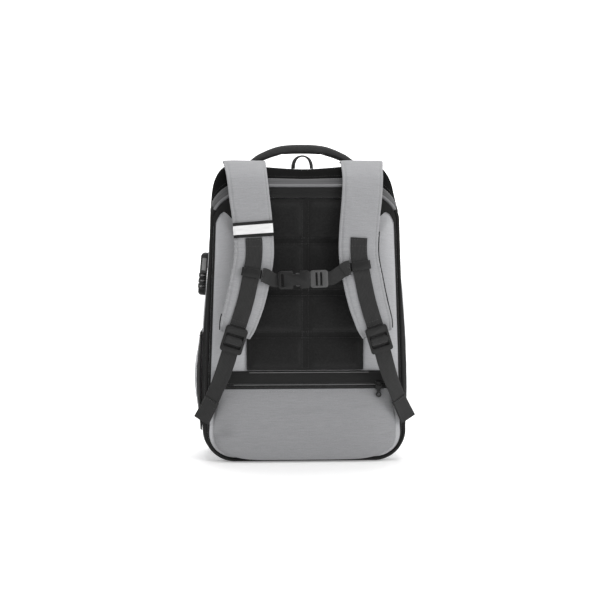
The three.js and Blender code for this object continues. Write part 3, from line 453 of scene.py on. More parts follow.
def linked(name, mesh):
    piece = bpy.data.objects.new(name, mesh)
    bpy.context.scene.collection.objects.link(piece)
    return piece


def made(name, points, faces, finish, cloth=None, angle=CREASE):
    """A new piece from points in millimetres."""
    mesh = bpy.data.meshes.new(name)
    mesh.from_pydata((np.asarray(points) * MM).tolist(), [], [[int(i) for i in face] for face in faces])
    turn_outward(mesh)
    if cloth is not None:
        lay_cloth(mesh, cloth)
    mesh.materials.append(finish)
    smooth(mesh, angle)
    return linked(name, mesh)


def tube(name, rings, finish, cloth=None, angle=CREASE):
    """A closed piece through rings of points."""
    return made(name, rings.reshape(-1, 3), tube_faces(*rings.shape[:2]), finish, cloth, angle)


def settled(piece):
    """The piece with its modifiers applied."""
    evaluated = piece.evaluated_get(bpy.context.evaluated_depsgraph_get())
    mesh = bpy.data.meshes.new_from_object(evaluated)
    piece.modifiers.clear()
    old = piece.data
    piece.data = mesh
    bpy.data.meshes.remove(old)
    mesh.name = piece.name
    return piece


def places_of(piece):
    """The piece's points in millimetres."""
    flat = np.zeros(3 * len(piece.data.vertices), np.float32)
    piece.data.vertices.foreach_get("co", flat)
    return flat.reshape(-1, 3).astype(float) / MM


def move_points(piece, points):
    piece.data.vertices.foreach_set("co", (np.asarray(points) * MM).astype(np.float32).ravel())
    piece.data.update()


def subdivided(piece):
    """The piece with each of its faces split once, and rounded off."""
    piece.modifiers.new("detail", "SUBSURF").levels = 1
    return settled(piece)


def rounded(piece, width, segments):
    """The piece with its sharp edges rounded."""
    edges = piece.modifiers.new("edges", "BEVEL")
    edges.width = width * MM
    edges.segments = segments
    edges.limit_method = "ANGLE"
    edges.angle_limit = math.radians(35)
    return settled(piece)


def arc_lengths(grid):
    """How far each point of a grid lies across its row, from the middle, and down its column."""
    across = np.zeros(grid.shape[:2])
    down = np.zeros(grid.shape[:2])
    across[:, 1:] = np.cumsum(np.linalg.norm(np.diff(grid, axis=1), axis=-1), axis=1)
    down[1:] = np.cumsum(np.linalg.norm(np.diff(grid, axis=0), axis=-1), axis=0)
    return across - across[:, across.shape[1] // 2][:, None], down


def cloth_sheet(name, outer, inner, finish, wrap=False, upright=False):
    """A closed sheet between two grids. An upright one has its columns going up, and its rows across."""
    across, down = arc_lengths(outer)
    spots = np.stack([down, across] if upright else [across, down], axis=-1).reshape(-1, 2)
    points = np.vstack([outer.reshape(-1, 3), inner.reshape(-1, 3)])
    faces = sheet_faces(*outer.shape[:2], wrap)
    return made(name, points, faces, finish, np.vstack([spots, spots]))


def seam_tuck(grid, wrap=False):
    """How far a panel is drawn in near its edges."""
    across, down = arc_lengths(grid)
    edge = np.minimum(down - down[0], down[-1] - down)
    if not wrap:
        edge = np.minimum(edge, np.minimum(across - across[:, :1], across[:, -1:] - across))
    return SEAM_TUCK * bell(edge, 0, SEAM_REACH)


def fine_steps(start, stop):
    """Even steps with closer ones at both ends, where the seams are."""
    close = np.array(SEAM_STEPS)
    first, last = start + SEAM_ROOM, stop - SEAM_ROOM
    middle = np.linspace(first, last, max(2, round((last - first) / WALL_STEP)))
    return np.concatenate([start + close, middle, stop - close[::-1]])


def ribbon(name, way, half, thick, finish):
    """Flat webbing along a way, with its edges rounded off."""
    spread = np.array([-1, -0.97, -0.86, -0.45, 0, 0.45, 0.86, 0.97, 1])
    height = np.array([0.4, 0.8, 1, 1, 1, 1, 1, 0.8, 0.4]) / 2
    across = np.concatenate([spread, spread[::-1]]) * half
    out = np.concatenate([height, -height]) * thick
    rings = way.place[:, None] + across[:, None] * way.across[:, None] + out[:, None] * way.out[:, None]
    run = np.repeat(lengths_along(way.place)[:, None], len(across), axis=1)
    spots = np.stack([np.broadcast_to(across, run.shape), run], axis=-1).reshape(-1, 2)
    return tube(name, rings, finish, spots, angle=60)


def padded_rings(way, half, thick, sides, squareness=0.4):
    """Rings of a padded section with round edges."""
    angle = (np.arange(sides) + 0.5) / sides * 2 * math.pi
    across = np.sign(np.cos(angle)) * np.abs(np.cos(angle)) ** squareness
    out = np.sign(np.sin(angle)) * np.abs(np.sin(angle)) ** squareness
    shift = half[:, None, None] * across[:, None] * way.across[:, None]
    return way.place[:, None] + shift + thick[:, None, None] / 2 * out[:, None] * way.out[:, None]


def placed(piece, slot, *nodes, body="bag"):
    """Fixes a piece to a body of the frame and hides the nodes that it stands for; slot is not used."""
    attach(piece, body)
    if nodes:
        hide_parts(*nodes)
    return piece


def laid_on(piece, points, direction, lift=0.1):
    """Points moved along a direction until they meet a piece, then lifted a little off it."""
    work = bmesh.new()
    work.from_mesh(piece.data)
    tree = BVHTree.FromBMesh(work)
    work.free()
    ways = np.broadcast_to(direction, np.shape(points))
    found = []
    for point, way in zip(np.asarray(points, float), ways):
        hit = tree.ray_cast(Vector(point * MM), Vector(way))[0]
        if hit is not None:
            found.append(np.array(hit) / MM - lift * way)
    return np.array(found)


# Padding by cloth simulation


def swollen(piece, pressure, reach, pinned):
    """Blows a closed piece up from inside by cloth simulation, no point moving further than reach."""
    start = places_of(piece)
    cloth = piece.modifiers.new("swell", "CLOTH")
    cloth.settings.use_pressure = True
    cloth.settings.uniform_pressure_force = pressure
    cloth.settings.effector_weights.gravity = 0
    cloth.settings.quality = 6
    cloth.collision_settings.use_collision = False
    cloth.point_cache.frame_start = 1
    cloth.point_cache.frame_end = SIMULATED_FRAMES
    held = piece.vertex_groups.new(name="sewn")
    held.add([int(i) for i in pinned], 1.0, "REPLACE")
    cloth.settings.vertex_group_mass = held.name
    for moment in range(1, SIMULATED_FRAMES + 1):
        bpy.context.scene.frame_set(moment)
    settled(piece)
    bpy.context.scene.frame_set(1)
    shift = places_of(piece) - start
    far = np.linalg.norm(shift, axis=1, keepdims=True)
    move_points(piece, start + shift * np.minimum(1, reach / np.maximum(far, 1e-9)))


# Geometry Nodes trees: what repeats along a path


def new_node(tree, kind, links, settings):
    """A new node of a tree, its settings, and what feeds each of its named or numbered sockets."""
    node = tree.nodes.new(kind)
    for label, value in settings.items():
        setattr(node, label, value)
    for socket, value in (links or {}).items():
        if isinstance(value, bpy.types.NodeSocket):
            tree.links.new(value, node.inputs[socket])
        else:
            node.inputs[socket].default_value = value
    return node


class Tree:
    """A Geometry Nodes tree under construction, from a path to a shape, with named inputs."""

    def __init__(self, name, inputs):
        self.group = bpy.data.node_groups.new(name, "GeometryNodeTree")
        sockets = self.group.interface
        sockets.new_socket("Path", in_out="INPUT", socket_type="NodeSocketGeometry")
        self.inputs = {
            label: sockets.new_socket(label, in_out="INPUT", socket_type="NodeSocket" + kind)
            for label, kind in inputs.items()
        }
        sockets.new_socket("Shape", in_out="OUTPUT", socket_type="NodeSocketGeometry")
        self.start = self.add("NodeGroupInput")
        self.end = self.add("NodeGroupOutput")

    def add(self, kind, links=None, **settings):
        return new_node(self.group, kind, links, settings)

    def given(self, label):
        return self.start.outputs[label]

    def finish(self, shape):
        """Realizes the shape, smooths it, gives it the material input and ends the tree."""
        plain = self.add("GeometryNodeRealizeInstances", {"Geometry": shape})
        soft = self.add("GeometryNodeSetShadeSmooth", {"Geometry": plain.outputs["Geometry"]})
        coated = self.add(
            "GeometryNodeSetMaterial",
            {"Geometry": soft.outputs["Geometry"], "Material": self.given("Material")},
        )
        self.group.links.new(coated.outputs["Geometry"], self.end.inputs["Shape"])

    def grown(self, name, paths, values):
        """A plain mesh piece grown along paths of points in millimetres."""
        points = np.vstack(paths) * MM
        edges = []
        first = 0
        for path in paths:
            edges += [(first + i, first + i + 1) for i in range(len(path) - 1)]
            first += len(path)
        mesh = bpy.data.meshes.new(name)
        mesh.from_pydata(points.tolist(), edges, [])
        piece = linked(name, mesh)
        grower = piece.modifiers.new("grow", "NODES")
        grower.node_group = self.group
        for label, value in values.items():
            grower[self.inputs[label].identifier] = value
        return settled(piece)


def row_tree():
    """Small rounded bodies in a row along a path, such as stitches or the coils of a zip."""
    sizes = {"Pitch": "Float", "Along": "Float", "Across": "Float", "Height": "Float", "Sideways": "Vector"}
    tree = Tree("row_along_path", {**sizes, "Material": "Material"})
    line = tree.add("GeometryNodeMeshToCurve", {"Mesh": tree.given("Path")})
    dots = tree.add(
        "GeometryNodeResampleCurve",
        {"Curve": line.outputs["Curve"], "Length": tree.given("Pitch")},
        mode="LENGTH",
    )
    bead = tree.add("GeometryNodeMeshUVSphere", {"Segments": 6, "Rings": 4, "Radius": 0.5})
    heading = tree.add("GeometryNodeInputTangent")
    ahead = tree.add("FunctionNodeAlignRotationToVector", {"Vector": heading.outputs["Tangent"]}, axis="Z")
    square = tree.add(
        "FunctionNodeAlignRotationToVector",
        {"Rotation": ahead.outputs["Rotation"], "Vector": tree.given("Sideways")},
        axis="X", pivot_axis="Z",
    )
    size = tree.add(
        "ShaderNodeCombineXYZ",
        {"X": tree.given("Across"), "Y": tree.given("Height"), "Z": tree.given("Along")},
    )
    row = tree.add(
        "GeometryNodeInstanceOnPoints",
        {
            "Points": dots.outputs["Curve"],
            "Instance": bead.outputs["Mesh"],
            "Rotation": square.outputs["Rotation"],
            "Scale": size.outputs["Vector"],
        },
    )
    tree.finish(row.outputs["Instances"])
    return tree


def cord_tree():
    """A round cord along a path, such as piping."""
    tree = Tree("cord_along_path", {"Radius": "Float", "Step": "Float", "Material": "Material"})
    line = tree.add("GeometryNodeMeshToCurve", {"Mesh": tree.given("Path")})
    even = tree.add(
        "GeometryNodeResampleCurve",
        {"Curve": line.outputs["Curve"], "Length": tree.given("Step")},
        mode="LENGTH",
    )
    ring = tree.add("GeometryNodeCurvePrimitiveCircle", {"Resolution": 10, "Radius": tree.given("Radius")})
    cord = tree.add(
        "GeometryNodeCurveToMesh",
        {"Curve": even.outputs["Curve"], "Profile Curve": ring.outputs["Curve"], "Fill Caps": True},
    )
    tree.finish(cord.outputs["Mesh"])
    return tree


ROW = row_tree()
CORD = cord_tree()


# Finishes


class Finish:
    """A material under construction: its shader, and short calls for the nodes that feed it."""

    def __init__(self, name, settings):
        self.material = bpy.data.materials.new(name)
        self.material.use_nodes = True
        self.tree = self.material.node_tree
        self.tree.nodes.clear()
        self.shader = self.add("ShaderNodeBsdfPrincipled", settings)
        self.add("ShaderNodeOutputMaterial", {"Surface": self.shader.outputs["BSDF"]})

    def add(self, kind, links=None, **settings):
        return new_node(self.tree, kind, links, settings)

    def feed(self, socket, value):
        self.tree.links.new(value, self.shader.inputs[socket])

    def cloth(self):
        """Where the point lies on the flat cloth."""
        return self.add("ShaderNodeAttribute", attribute_name="cloth").outputs["Vector"]

    def solid(self):
        return self.add("ShaderNodeTexCoord").outputs["Object"]

    def stretched(self, where, across, along):
        """Coordinates counted in cells of the given size in millimetres."""
        cells = (1 / (across * MM), 1 / (along * MM), 1 / (across * MM))
        return self.add("ShaderNodeMapping", {"Vector": where, "Scale": cells}).outputs["Vector"]

    def turned(self, where, angle):
        """Coordinates turned in the cloth's plane, by degrees."""
        turn = (0, 0, math.radians(angle))
        return self.add("ShaderNodeMapping", {"Vector": where, "Rotation": turn}).outputs["Vector"]

    def speckle(self, where, detail):
        """Smooth noise between 0 and 1."""
        texture = self.add(
            "ShaderNodeTexNoise",
            {"Vector": where, "Scale": 1.0, "Detail": detail, "Roughness": 0.55},
        )
        return texture.outputs["Fac"]

    def threads(self, where, pitch, direction):
        """Parallel threads, as a height between 0 and 1."""
        per_wave = 2 * math.pi / (20 * pitch * MM)
        texture = self.add(
            "ShaderNodeTexWave", {"Vector": where, "Scale": per_wave}, bands_direction=direction
        )
        return texture.outputs["Fac"]

    def holes(self, where):
        return self.add("ShaderNodeTexVoronoi", {"Vector": where, "Scale": 1.0}).outputs["Distance"]

    def worked(self, operation, a, b):
        return self.add("ShaderNodeMath", {0: a, 1: b}, operation=operation).outputs["Value"]

    def mixed(self, *parts):
        """The sum of values, each with its own weight."""
        shares = [self.worked("MULTIPLY", value, weight) for value, weight in parts]
        total = shares[0]
        for share in shares[1:]:
            total = self.worked("ADD", total, share)
        return total

    def shades(self, factor, *stops):
        """A colour that follows a factor through (place, grey or colour) stops."""
        ramp = self.add("ShaderNodeValToRGB", {"Fac": factor})
        elements = ramp.color_ramp.elements
        while len(elements) < len(stops):
            elements.new(0.5)
        for element, (place, shade) in zip(elements, stops):
            element.position = place
            element.color = (*shade, 1) if isinstance(shade, tuple) else (shade, shade, shade, 1)
        return ramp.outputs["Color"]

    def raised(self, height, depth, strength):
        """Bump of a depth in millimetres."""
        bump = self.add("ShaderNodeBump", {"Height": height, "Distance": depth * MM, "Strength": strength})
        if self.shader.inputs["Normal"].is_linked:
            below = self.shader.inputs["Normal"].links[0].from_socket
            self.tree.links.new(below, bump.inputs["Normal"])
        self.feed("Normal", bump.outputs["Normal"])


def cool(grey):
    """A grey with the slight blue cast of the cloth."""
    return (grey * 0.985, grey * 0.99, grey * 1.02)


def melange(name, light, dark):
    """Heathered grey cloth: fine slubs along the weft over a plain weave."""
    sheen = {"Sheen Weight": 0.12, "Sheen Roughness": 0.5}
    make = Finish(name, {"Roughness": 0.92, "Specular IOR Level": 0.2, **sheen})
    cloth = make.cloth()
    slubs = make.speckle(make.stretched(cloth, 14, 0.9), 2.0)
    streaks = make.speckle(make.stretched(cloth, 45, 2.6), 3.0)
    flecks = make.speckle(make.stretched(cloth, 2.2, 1.1), 1.0)
    tone = make.mixed((slubs, 0.4), (streaks, 0.22), (flecks, 0.38))
    middle = (light + dark) / 2
    make.feed("Base Color", make.shades(tone, (0.3, cool(dark)), (0.5, cool(middle)), (0.7, cool(light))))
    weave = make.worked("MAXIMUM", make.threads(cloth, 0.9, "X"), make.threads(cloth, 0.9, "Y"))
    make.raised(weave, 0.1, 0.5)
    make.raised(slubs, 0.25, 0.5)
    return make.material


def twill(name, light, dark, roughness=0.75, gloss=0.12):
    """Dark nylon cloth with fine diagonal ribs."""
    make = Finish(name, {"Specular IOR Level": gloss})
    cloth = make.cloth()
    ribs = make.threads(make.turned(cloth, 45), 1.0, "X")
    fade = make.speckle(make.stretched(cloth, 30, 30), 4.0)
    tone = make.mixed((ribs, 0.35), (fade, 0.65))
    make.feed("Base Color", make.shades(tone, (0.25, dark), (0.75, light)))
    make.feed("Roughness", make.shades(fade, (0.3, roughness - 0.06), (0.7, roughness + 0.08)))
    make.raised(ribs, 0.12, 0.6)
    return make.material


def air_mesh(name):
    """Spacer mesh: a dark net with round holes over a darker ground."""
    make = Finish(name, {"Roughness": 0.9, "Sheen Weight": 0.22, "Specular IOR Level": 0.25})
    cloth = make.cloth()
    net = make.holes(make.stretched(cloth, 2.4, 2.4))
    fade = make.speckle(make.stretched(cloth, 26, 26), 3.0)
    tone = make.mixed((net, 0.8), (fade, 0.3))
    make.feed("Base Color", make.shades(tone, (0.2, 0.0025), (0.45, 0.0045), (0.8, 0.0075)))
    make.raised(net, 0.35, 0.5)
    return make.material


def webbing_weave(name, light, dark):
    """Woven strap: ribs along it, crossed by finer weft."""
    make = Finish(name, {"Roughness": 0.78, "Sheen Weight": 0.1, "Specular IOR Level": 0.3})
    cloth = make.cloth()
    ribs = make.threads(cloth, 2.1, "X")
    weft = make.threads(cloth, 1.3, "Y")
    fade = make.speckle(make.stretched(cloth, 9, 22), 4.0)
    tone = make.mixed((ribs, 0.3), (weft, 0.15), (fade, 0.6))
    make.feed("Base Color", make.shades(tone, (0.25, dark), (0.8, light)))
    make.raised(ribs, 0.25, 0.7)
    make.raised(weft, 0.15, 0.5)
    return make.material


def moulded(name, base, worn, roughness=0.42):
    """Moulded plastic with a fine grain, paler and smoother where its edges are rubbed."""
    make = Finish(name, {"Specular IOR Level": 0.3})
    solid = make.solid()
    grain = make.speckle(make.stretched(solid, 0.7, 0.7), 2.0)
    patches = make.speckle(make.stretched(solid, 12, 12), 3.0)
    edges = make.add("ShaderNodeNewGeometry").outputs["Pointiness"]
    rubbed = make.worked("ADD", edges, make.worked("MULTIPLY", patches, 0.06))
    make.feed("Base Color", make.shades(rubbed, (0.5, base), (0.62, worn)))
    make.feed("Roughness", make.shades(patches, (0.3, roughness - 0.08), (0.7, roughness + 0.1)))
    make.raised(grain, 0.06, 0.5)
    return make.material


def reflective(name):
    """Silver-white tape of tiny glass beads."""
    make = Finish(name, {"Specular IOR Level": 0.6, "Sheen Weight": 0.15})
    cloth = make.cloth()
    beads = make.holes(make.stretched(cloth, 0.8, 0.8))
    scuffs = make.speckle(make.stretched(cloth, 18, 4), 5.0)
    make.feed("Base Color", make.shades(scuffs, (0.25, 0.62), (0.5, 0.73), (0.8, 0.79)))
    make.feed("Roughness", make.shades(scuffs, (0.3, 0.5), (0.7, 0.32)))
    make.raised(beads, 0.08, 0.6)
    return make.material


def thread(name, light, dark):
    """Twisted sewing thread."""
    make = Finish(name, {"Roughness": 0.7, "Sheen Weight": 0.2})
    twist = make.speckle(make.stretched(make.solid(), 1.1, 1.1), 2.0)
    make.feed("Base Color", make.shades(twist, (0.35, dark), (0.65, light)))
    make.raised(twist, 0.08, 0.6)
    return make.material


def printed(name, shade):
    """Paint of the numbers on the dials."""
    make = Finish(name, {"Roughness": 0.5})
    wear = make.speckle(make.stretched(make.solid(), 1.5, 1.5), 3.0)
    make.feed("Base Color", make.shades(wear, (0.3, shade * 0.75), (0.6, shade)))
    return make.material


def lit_paper(name, patch, light, dark, roughness, gloss, glow):
    """Pale paper with soft patches of tone, lit on its own."""
    make = Finish(name, {"Roughness": roughness, "Specular IOR Level": gloss, "Emission Strength": glow})
    drift = make.speckle(make.stretched(make.solid(), patch, patch), 2.0)
    make.feed("Base Color", make.shades(drift, (0.3, dark), (0.7, light)))
    make.feed("Emission Color", make.shades(drift, (0.3, 0.97), (0.7, 1.0)))
    return make.material


BACKDROP = lit_paper("backdrop_paper", 900, 0.82, 0.8, roughness=1.0, gloss=0.0, glow=1.0)
GREY = melange("grey_melange", 0.50, 0.37)
# Far darker copy of the grey melange for the strip and the zip cover over the top: painted shade.
GREY_EDGE_SHADED = melange("grey_melange_edge_shaded", 0.085, 0.06)
GREY_PIPING = melange("grey_melange_piping", 0.2, 0.15)
# Darker copy of the grey melange for the lower pocket: painted shade, as the pocket gets less light than the
# wings.
GREY_POCKET_SHADED = melange("grey_melange_pocket_shaded", 0.30, 0.22)
# Darker copy of the grey melange for the shoulder straps: painted shade, so their lit tops read no brighter
# than the wings.
GREY_STRAP_SHADED = melange("grey_melange_strap_shaded", 0.34, 0.25)
BLACK = twill("black_nylon", 0.02, 0.012)
# Darker, less glossy copy of the black nylon for the top panel: painted shade against the light from above
# and behind.
BLACK_TOP_SHADED = twill("black_top_shaded", 0.007, 0.0035, 0.85, 0.03)
BLACK_SATIN = twill("black_binding", 0.022, 0.011, 0.66)
HANDLE_CLOTH = twill("handle_cloth", 0.06, 0.036, 0.7)
MESH = air_mesh("air_mesh")
STRAPPING = webbing_weave("black_webbing", 0.024, 0.012)
PLASTIC = moulded("black_plastic", 0.003, 0.012)
PLASTIC_PALE = moulded("grey_plastic", 0.05, 0.09)
TAPE = reflective("reflective_tape")
LOCK_PAINT = moulded("lock_paint", 0.014, 0.05, 0.35)
LOCK_PLATE = moulded("lock_plate", 0.19, 0.3, 0.35)
COIL = moulded("zip_coil", 0.016, 0.03, 0.5)
DIAL_PAINT = moulded("dial_plastic", 0.02, 0.05, 0.4)
DIGITS = printed("dial_numbers", 0.75)
GREY_THREAD = thread("grey_thread", 0.36, 0.24)
BLACK_THREAD = thread("black_thread", 0.03, 0.016)
PAD_THREAD = thread("pad_thread", 0.012, 0.006)
# Pale weave for the band's cords: painted highlight on the band's rolled edges.
PALE_HIGHLIGHT_CORD = webbing_weave("pale_highlight_cord", 0.16, 0.1)
FLOOR = lit_paper("floor", 300, 0.92, 0.9, roughness=0.8, gloss=0.1, glow=0.24)

# Trim of the lock: finish, height of its middle, height and width
LOCK_TRIM = (("lock_plate", LOCK_PLATE, 15, 19, 6.2), ("lock_cap", PLASTIC, -27.5, 6.5, 8.2))

SEAMS = {"grey": [], "black": [], "pad": []}  # paths of the stitches, filled as the pieces are made


# Sewing and trims


def grow_cord(name, path, radius, finish):
    """A round cord along a path."""
    cord = CORD.grown(name, [path], {"Radius": radius * MM, "Step": CORD_STEP * MM, "Material": finish})
    lay_cloth(cord.data, places_of(cord)[:, [0, 2]])
    return cord


def grow_row(name, paths, sizes, finish, sideways=(0, 0, 0)):
    """Stitches or zip coils along paths."""
    values = {label: size * MM for label, size in sizes.items()}
    return ROW.grown(name, paths, {**values, "Sideways": sideways, "Material": finish})


def stitch_along(way, half, out, first, last):
    """Two rows of black stitches along a strap, one near each edge."""
    for edge in (-1, 1):
        SEAMS["black"].append(beside(way, edge * half, out)[first:last])


def stitch_across(way, at, half, out):
    """A row of black stitches across a strap, at one of its points."""
    spread = np.linspace(-1, 1, 8)[:, None] * half
    SEAMS["black"].append(way.place[at] + spread * way.across[at] + out * way.out[at])


# Bag walls


def wall_relief(points, seed, amount):
    """Shallow wrinkles of a soft wall."""
    broad = waves(points, (70, 60, 52), seed)
    fine = waves(points, (26, 30, 17), seed + 1)
    return amount * (broad + 0.35 * fine)


ANY_RELIEF = 9.0  # more than any wrinkle stands out


def make_wall(name, start, stop, depths, finish, slot, amount, most=ANY_RELIEF):
    """A panel of the bag's wall; most is how far it may stand out at all."""
    points, out = body_grid(start, stop, depths)
    lift = np.minimum(wall_relief(points, len(name), amount), most) - seam_tuck(points)
    outer = points + out * lift[..., None]
    upright = "side" in name
    piece = cloth_sheet(f"{name}_cloth", outer, points - out * WALL, finish, upright=upright)
    placed(piece, slot, name)
    across, down = arc_lengths(outer)
    return outer


def make_walls():
    """Base, sides, grey strip and black top, from the zip tape to the front."""
    depths = fine_steps(EDGE_ZIP_Y + GAP, FRONT_Y)
    strip = fine_steps(EDGE_ZIP_Y + GAP, TOP_STRIP_Y)
    top = fine_steps(TOP_STRIP_Y + GAP, FRONT_Y)
    over_top = CAP_START, AROUND - CAP_START
    make_wall("bottom_panel", -BOTTOM_EDGE, BOTTOM_EDGE, depths, GREY, "grey_fabric", 0.5, 0)
    for side, start, stop, most in (
        ("right", BOTTOM_EDGE, CAP_START, ANY_RELIEF),
        ("left", -CAP_START, -BOTTOM_EDGE, 0.4),
    ):
        outer = make_wall(f"side_panel_{side}", start, stop, depths, GREY, "grey_fabric", 1.5, most)
        SEAMS["grey"].extend(outer[row] for row in (5, -6))
    # The grey strip over the top takes the darker grey copy, which is painted shade.
    outer = make_wall("top_strip", *over_top, strip, GREY_EDGE_SHADED, "grey_fabric", 0.5)
    SEAMS["grey"].append(outer[-4])
    # The top panel takes the darker black copy, which is painted shade.
    outer = make_wall("top_panel", *over_top, top, BLACK_TOP_SHADED, "black_fabric", 0.9, 0.3)
    SEAMS["black"].append(outer[4])


def make_front():
    """Front panel: the rim of the body closed by a shallow crown."""
    base, top = BODY[FRONT_RIM_Y][:2]
    depths = fine_steps(FRONT_Y + GAP, FRONT_RIM_Y)
    rim, out = body_grid(0, AROUND - 1, depths)
    share = np.concatenate([np.linspace(0.97, 0.1, 32), [0.02]])
    middle = np.array([0, FRONT_RIM_Y, (base + top) / 2])

    def surface(inset, relief):
        turn = ease(FRONT_Y, FRONT_RIM_Y, depths)[:, None, None]
        edge = rim - out * (inset * (1 - turn)) - inset * turn * np.array([0, 1, 0])
        edge = edge - out * inset * 0.4 * turn
        crown = np.array([middle + (edge[-1] - middle) * s for s in share])
        crown[:, :, 1] += FRONT_CROWN * (1 - share * share)[:, None] - 0.3 * inset
        grid = np.vstack([edge, crown])
        grid[:, :, 1] += relief * (wall_relief(grid, 31, 1.4) - seam_tuck(grid, wrap=True))
        return grid

    outer, inner = surface(0, 1), surface(WALL, 0)
    rows, cols = outer.shape[:2]
    points = np.vstack([outer.reshape(-1, 3), inner.reshape(-1, 3)])
    faces = sheet_faces(rows, cols, wrap=True)
    last = np.arange((rows - 1) * cols, rows * cols)
    is_rim = np.isin(faces, last).any(axis=1) & np.isin(faces, last + rows * cols).any(axis=1)
    faces = faces[~is_rim].tolist() + [last.tolist(), (last + rows * cols).tolist()]
    piece = made("front_panel_cloth", points, faces, GREY, points[:, [0, 2]])
    placed(piece, "grey_fabric", "front_panel")
    SEAMS["grey"].append(np.vstack([outer[5], outer[5][:1]]))


def make_edge_zip():
    """The zip tape round the back edge, its coil up both sides, and the grey cover over it on the top."""
    depths = np.linspace(BACK_Y, EDGE_ZIP_Y, 15)
    points, out = body_grid(0, AROUND - 1, depths)
    groove = 0.8 * bell(depths, (BACK_Y + EDGE_ZIP_Y) / 2, 2.0)[:, None, None]
    tape = cloth_sheet("edge_zip_tape", points - out * groove, points - out * WALL, BLACK_SATIN, wrap=True)
    placed(tape, "black_fabric", "edge_zip")
    middle = len(depths) // 2
    start = STEPS["bottom"] + STEPS["corner"]
    sunk = (points - out * 0.2)[middle]
    lines = [sunk[start:COVER_START - 2], sunk[AROUND - COVER_START + 3:AROUND - start]]
    coil = grow_row("edge_zip_coil", lines, EDGE_COIL, COIL, sideways=(0, 1, 0))
    placed(coil, "plastic")

    span = slice(COVER_START, AROUND - COVER_START + 1)
    crown = 0.5 * np.sin(math.pi * np.linspace(0, 1, len(depths)))[:, None, None]
    outer = (points + out * (0.5 + crown))[:, span]
    # The cover takes the darker grey copy, which is painted shade.
    cover = cloth_sheet("edge_zip_cover", outer, (points + out * 0.1)[:, span], GREY_EDGE_SHADED)
    placed(cover, "grey_fabric")


# Back of the bag


def panel(name, heights, left, right, columns, face, finish, behind=ON_BACK):
    """A sheet on the back with rows at heights, from left to right at each, and its face at face(x, z)."""
    share = np.linspace(0, 1, columns)
    z = np.repeat(heights[:, None], columns, axis=1)
    left, right = (np.broadcast_to(side, heights.shape)[:, None] for side in (left, right))
    x = left * (1 - share) + right * share
    outer = stacked(x, face(x, z), z)
    return cloth_sheet(name, outer, stacked(x, behind, z), finish), outer


def wing_dome(x, z):
    """How far the stiffened back swells between the pad and the piping, below the black corners."""
    reach = np.abs(x)
    edge = back_half_width(z)
    share = np.clip((reach - PAD["half"]) / np.maximum(edge - PAD["half"], 1), 0, 1)
    low_x, low_z = YOKE[5][:2]
    high_x, high_z = YOKE[3][:2]
    corner = low_z + (high_z - low_z) / (high_x - low_x) * (reach - low_x)
    room = ease(0, 26, corner - z) * ease(BAND["high"], BAND["high"] + 30, z)
    return WING_RISE * np.sin(math.pi * share) ** 0.7 * room


def make_back():
    """Stiffened back, with the black edge on it and the piping round it."""
    base, top = BODY[BACK_Y][:2]
    heights = np.concatenate([np.linspace(base, base + 52, 26), np.linspace(base + 54, top, 150)])

    def face(x, z):
        lift = wing_dome(x, z)
        ripples = waves(stacked(x, 0, z), (34, 1, 60), 4) * np.minimum(lift, 1) * 0.7
        return BACK_FACE - lift - ripples

    half = back_half_width(heights)
    piece, _ = panel("back_panel_cloth", heights, -half, half, 121, face, GREY, BACK_Y - GAP)
    placed(piece, "grey_fabric", "back_panel")
    ring, out = outline(BACK_Y)
    below = np.flatnonzero(ring[:, 1] < YOKE[1][1])
    split = np.flatnonzero(np.diff(below) > 1)[0] + 1
    around = np.concatenate([below[split:], below[:split]])
    width = 0.6 + (BINDING - 0.6) * ease(14, 60, ring[around, 1])
    strips = [ring[around] - (0.1 + share * width)[:, None] * out[around] for share in np.linspace(0, 1, 5)]
    x, z = np.array(strips)[..., 0], np.array(strips)[..., 1]
    seat = BACK_FACE - wing_dome(x, z) - 0.15
    rounding = 0.35 + 0.45 * np.sin(math.pi * np.linspace(0.1, 0.9, 5))[:, None]
    binding = cloth_sheet("edge_binding", stacked(x, seat - rounding, z), stacked(x, seat, z), BLACK_SATIN)
    placed(binding, "black_fabric")
    line = ring + out * (GAP + PIPING_R)
    path = stacked(line[:, 0], BACK_Y - GAP - BACK_SHEET / 2, line[:, 1])
    over_top = path[COVER_START:AROUND - COVER_START + 1]
    round_base = np.vstack([path[AROUND - COVER_START:], path[:COVER_START + 1]])
    for name, line, finish, slot in (
        ("edge_piping", round_base, BLACK_SATIN, "black_fabric"),
        ("top_piping", over_top, GREY_PIPING, "grey_fabric"),
    ):
        placed(grow_cord(name, line, PIPING_R, finish), slot, "piping")


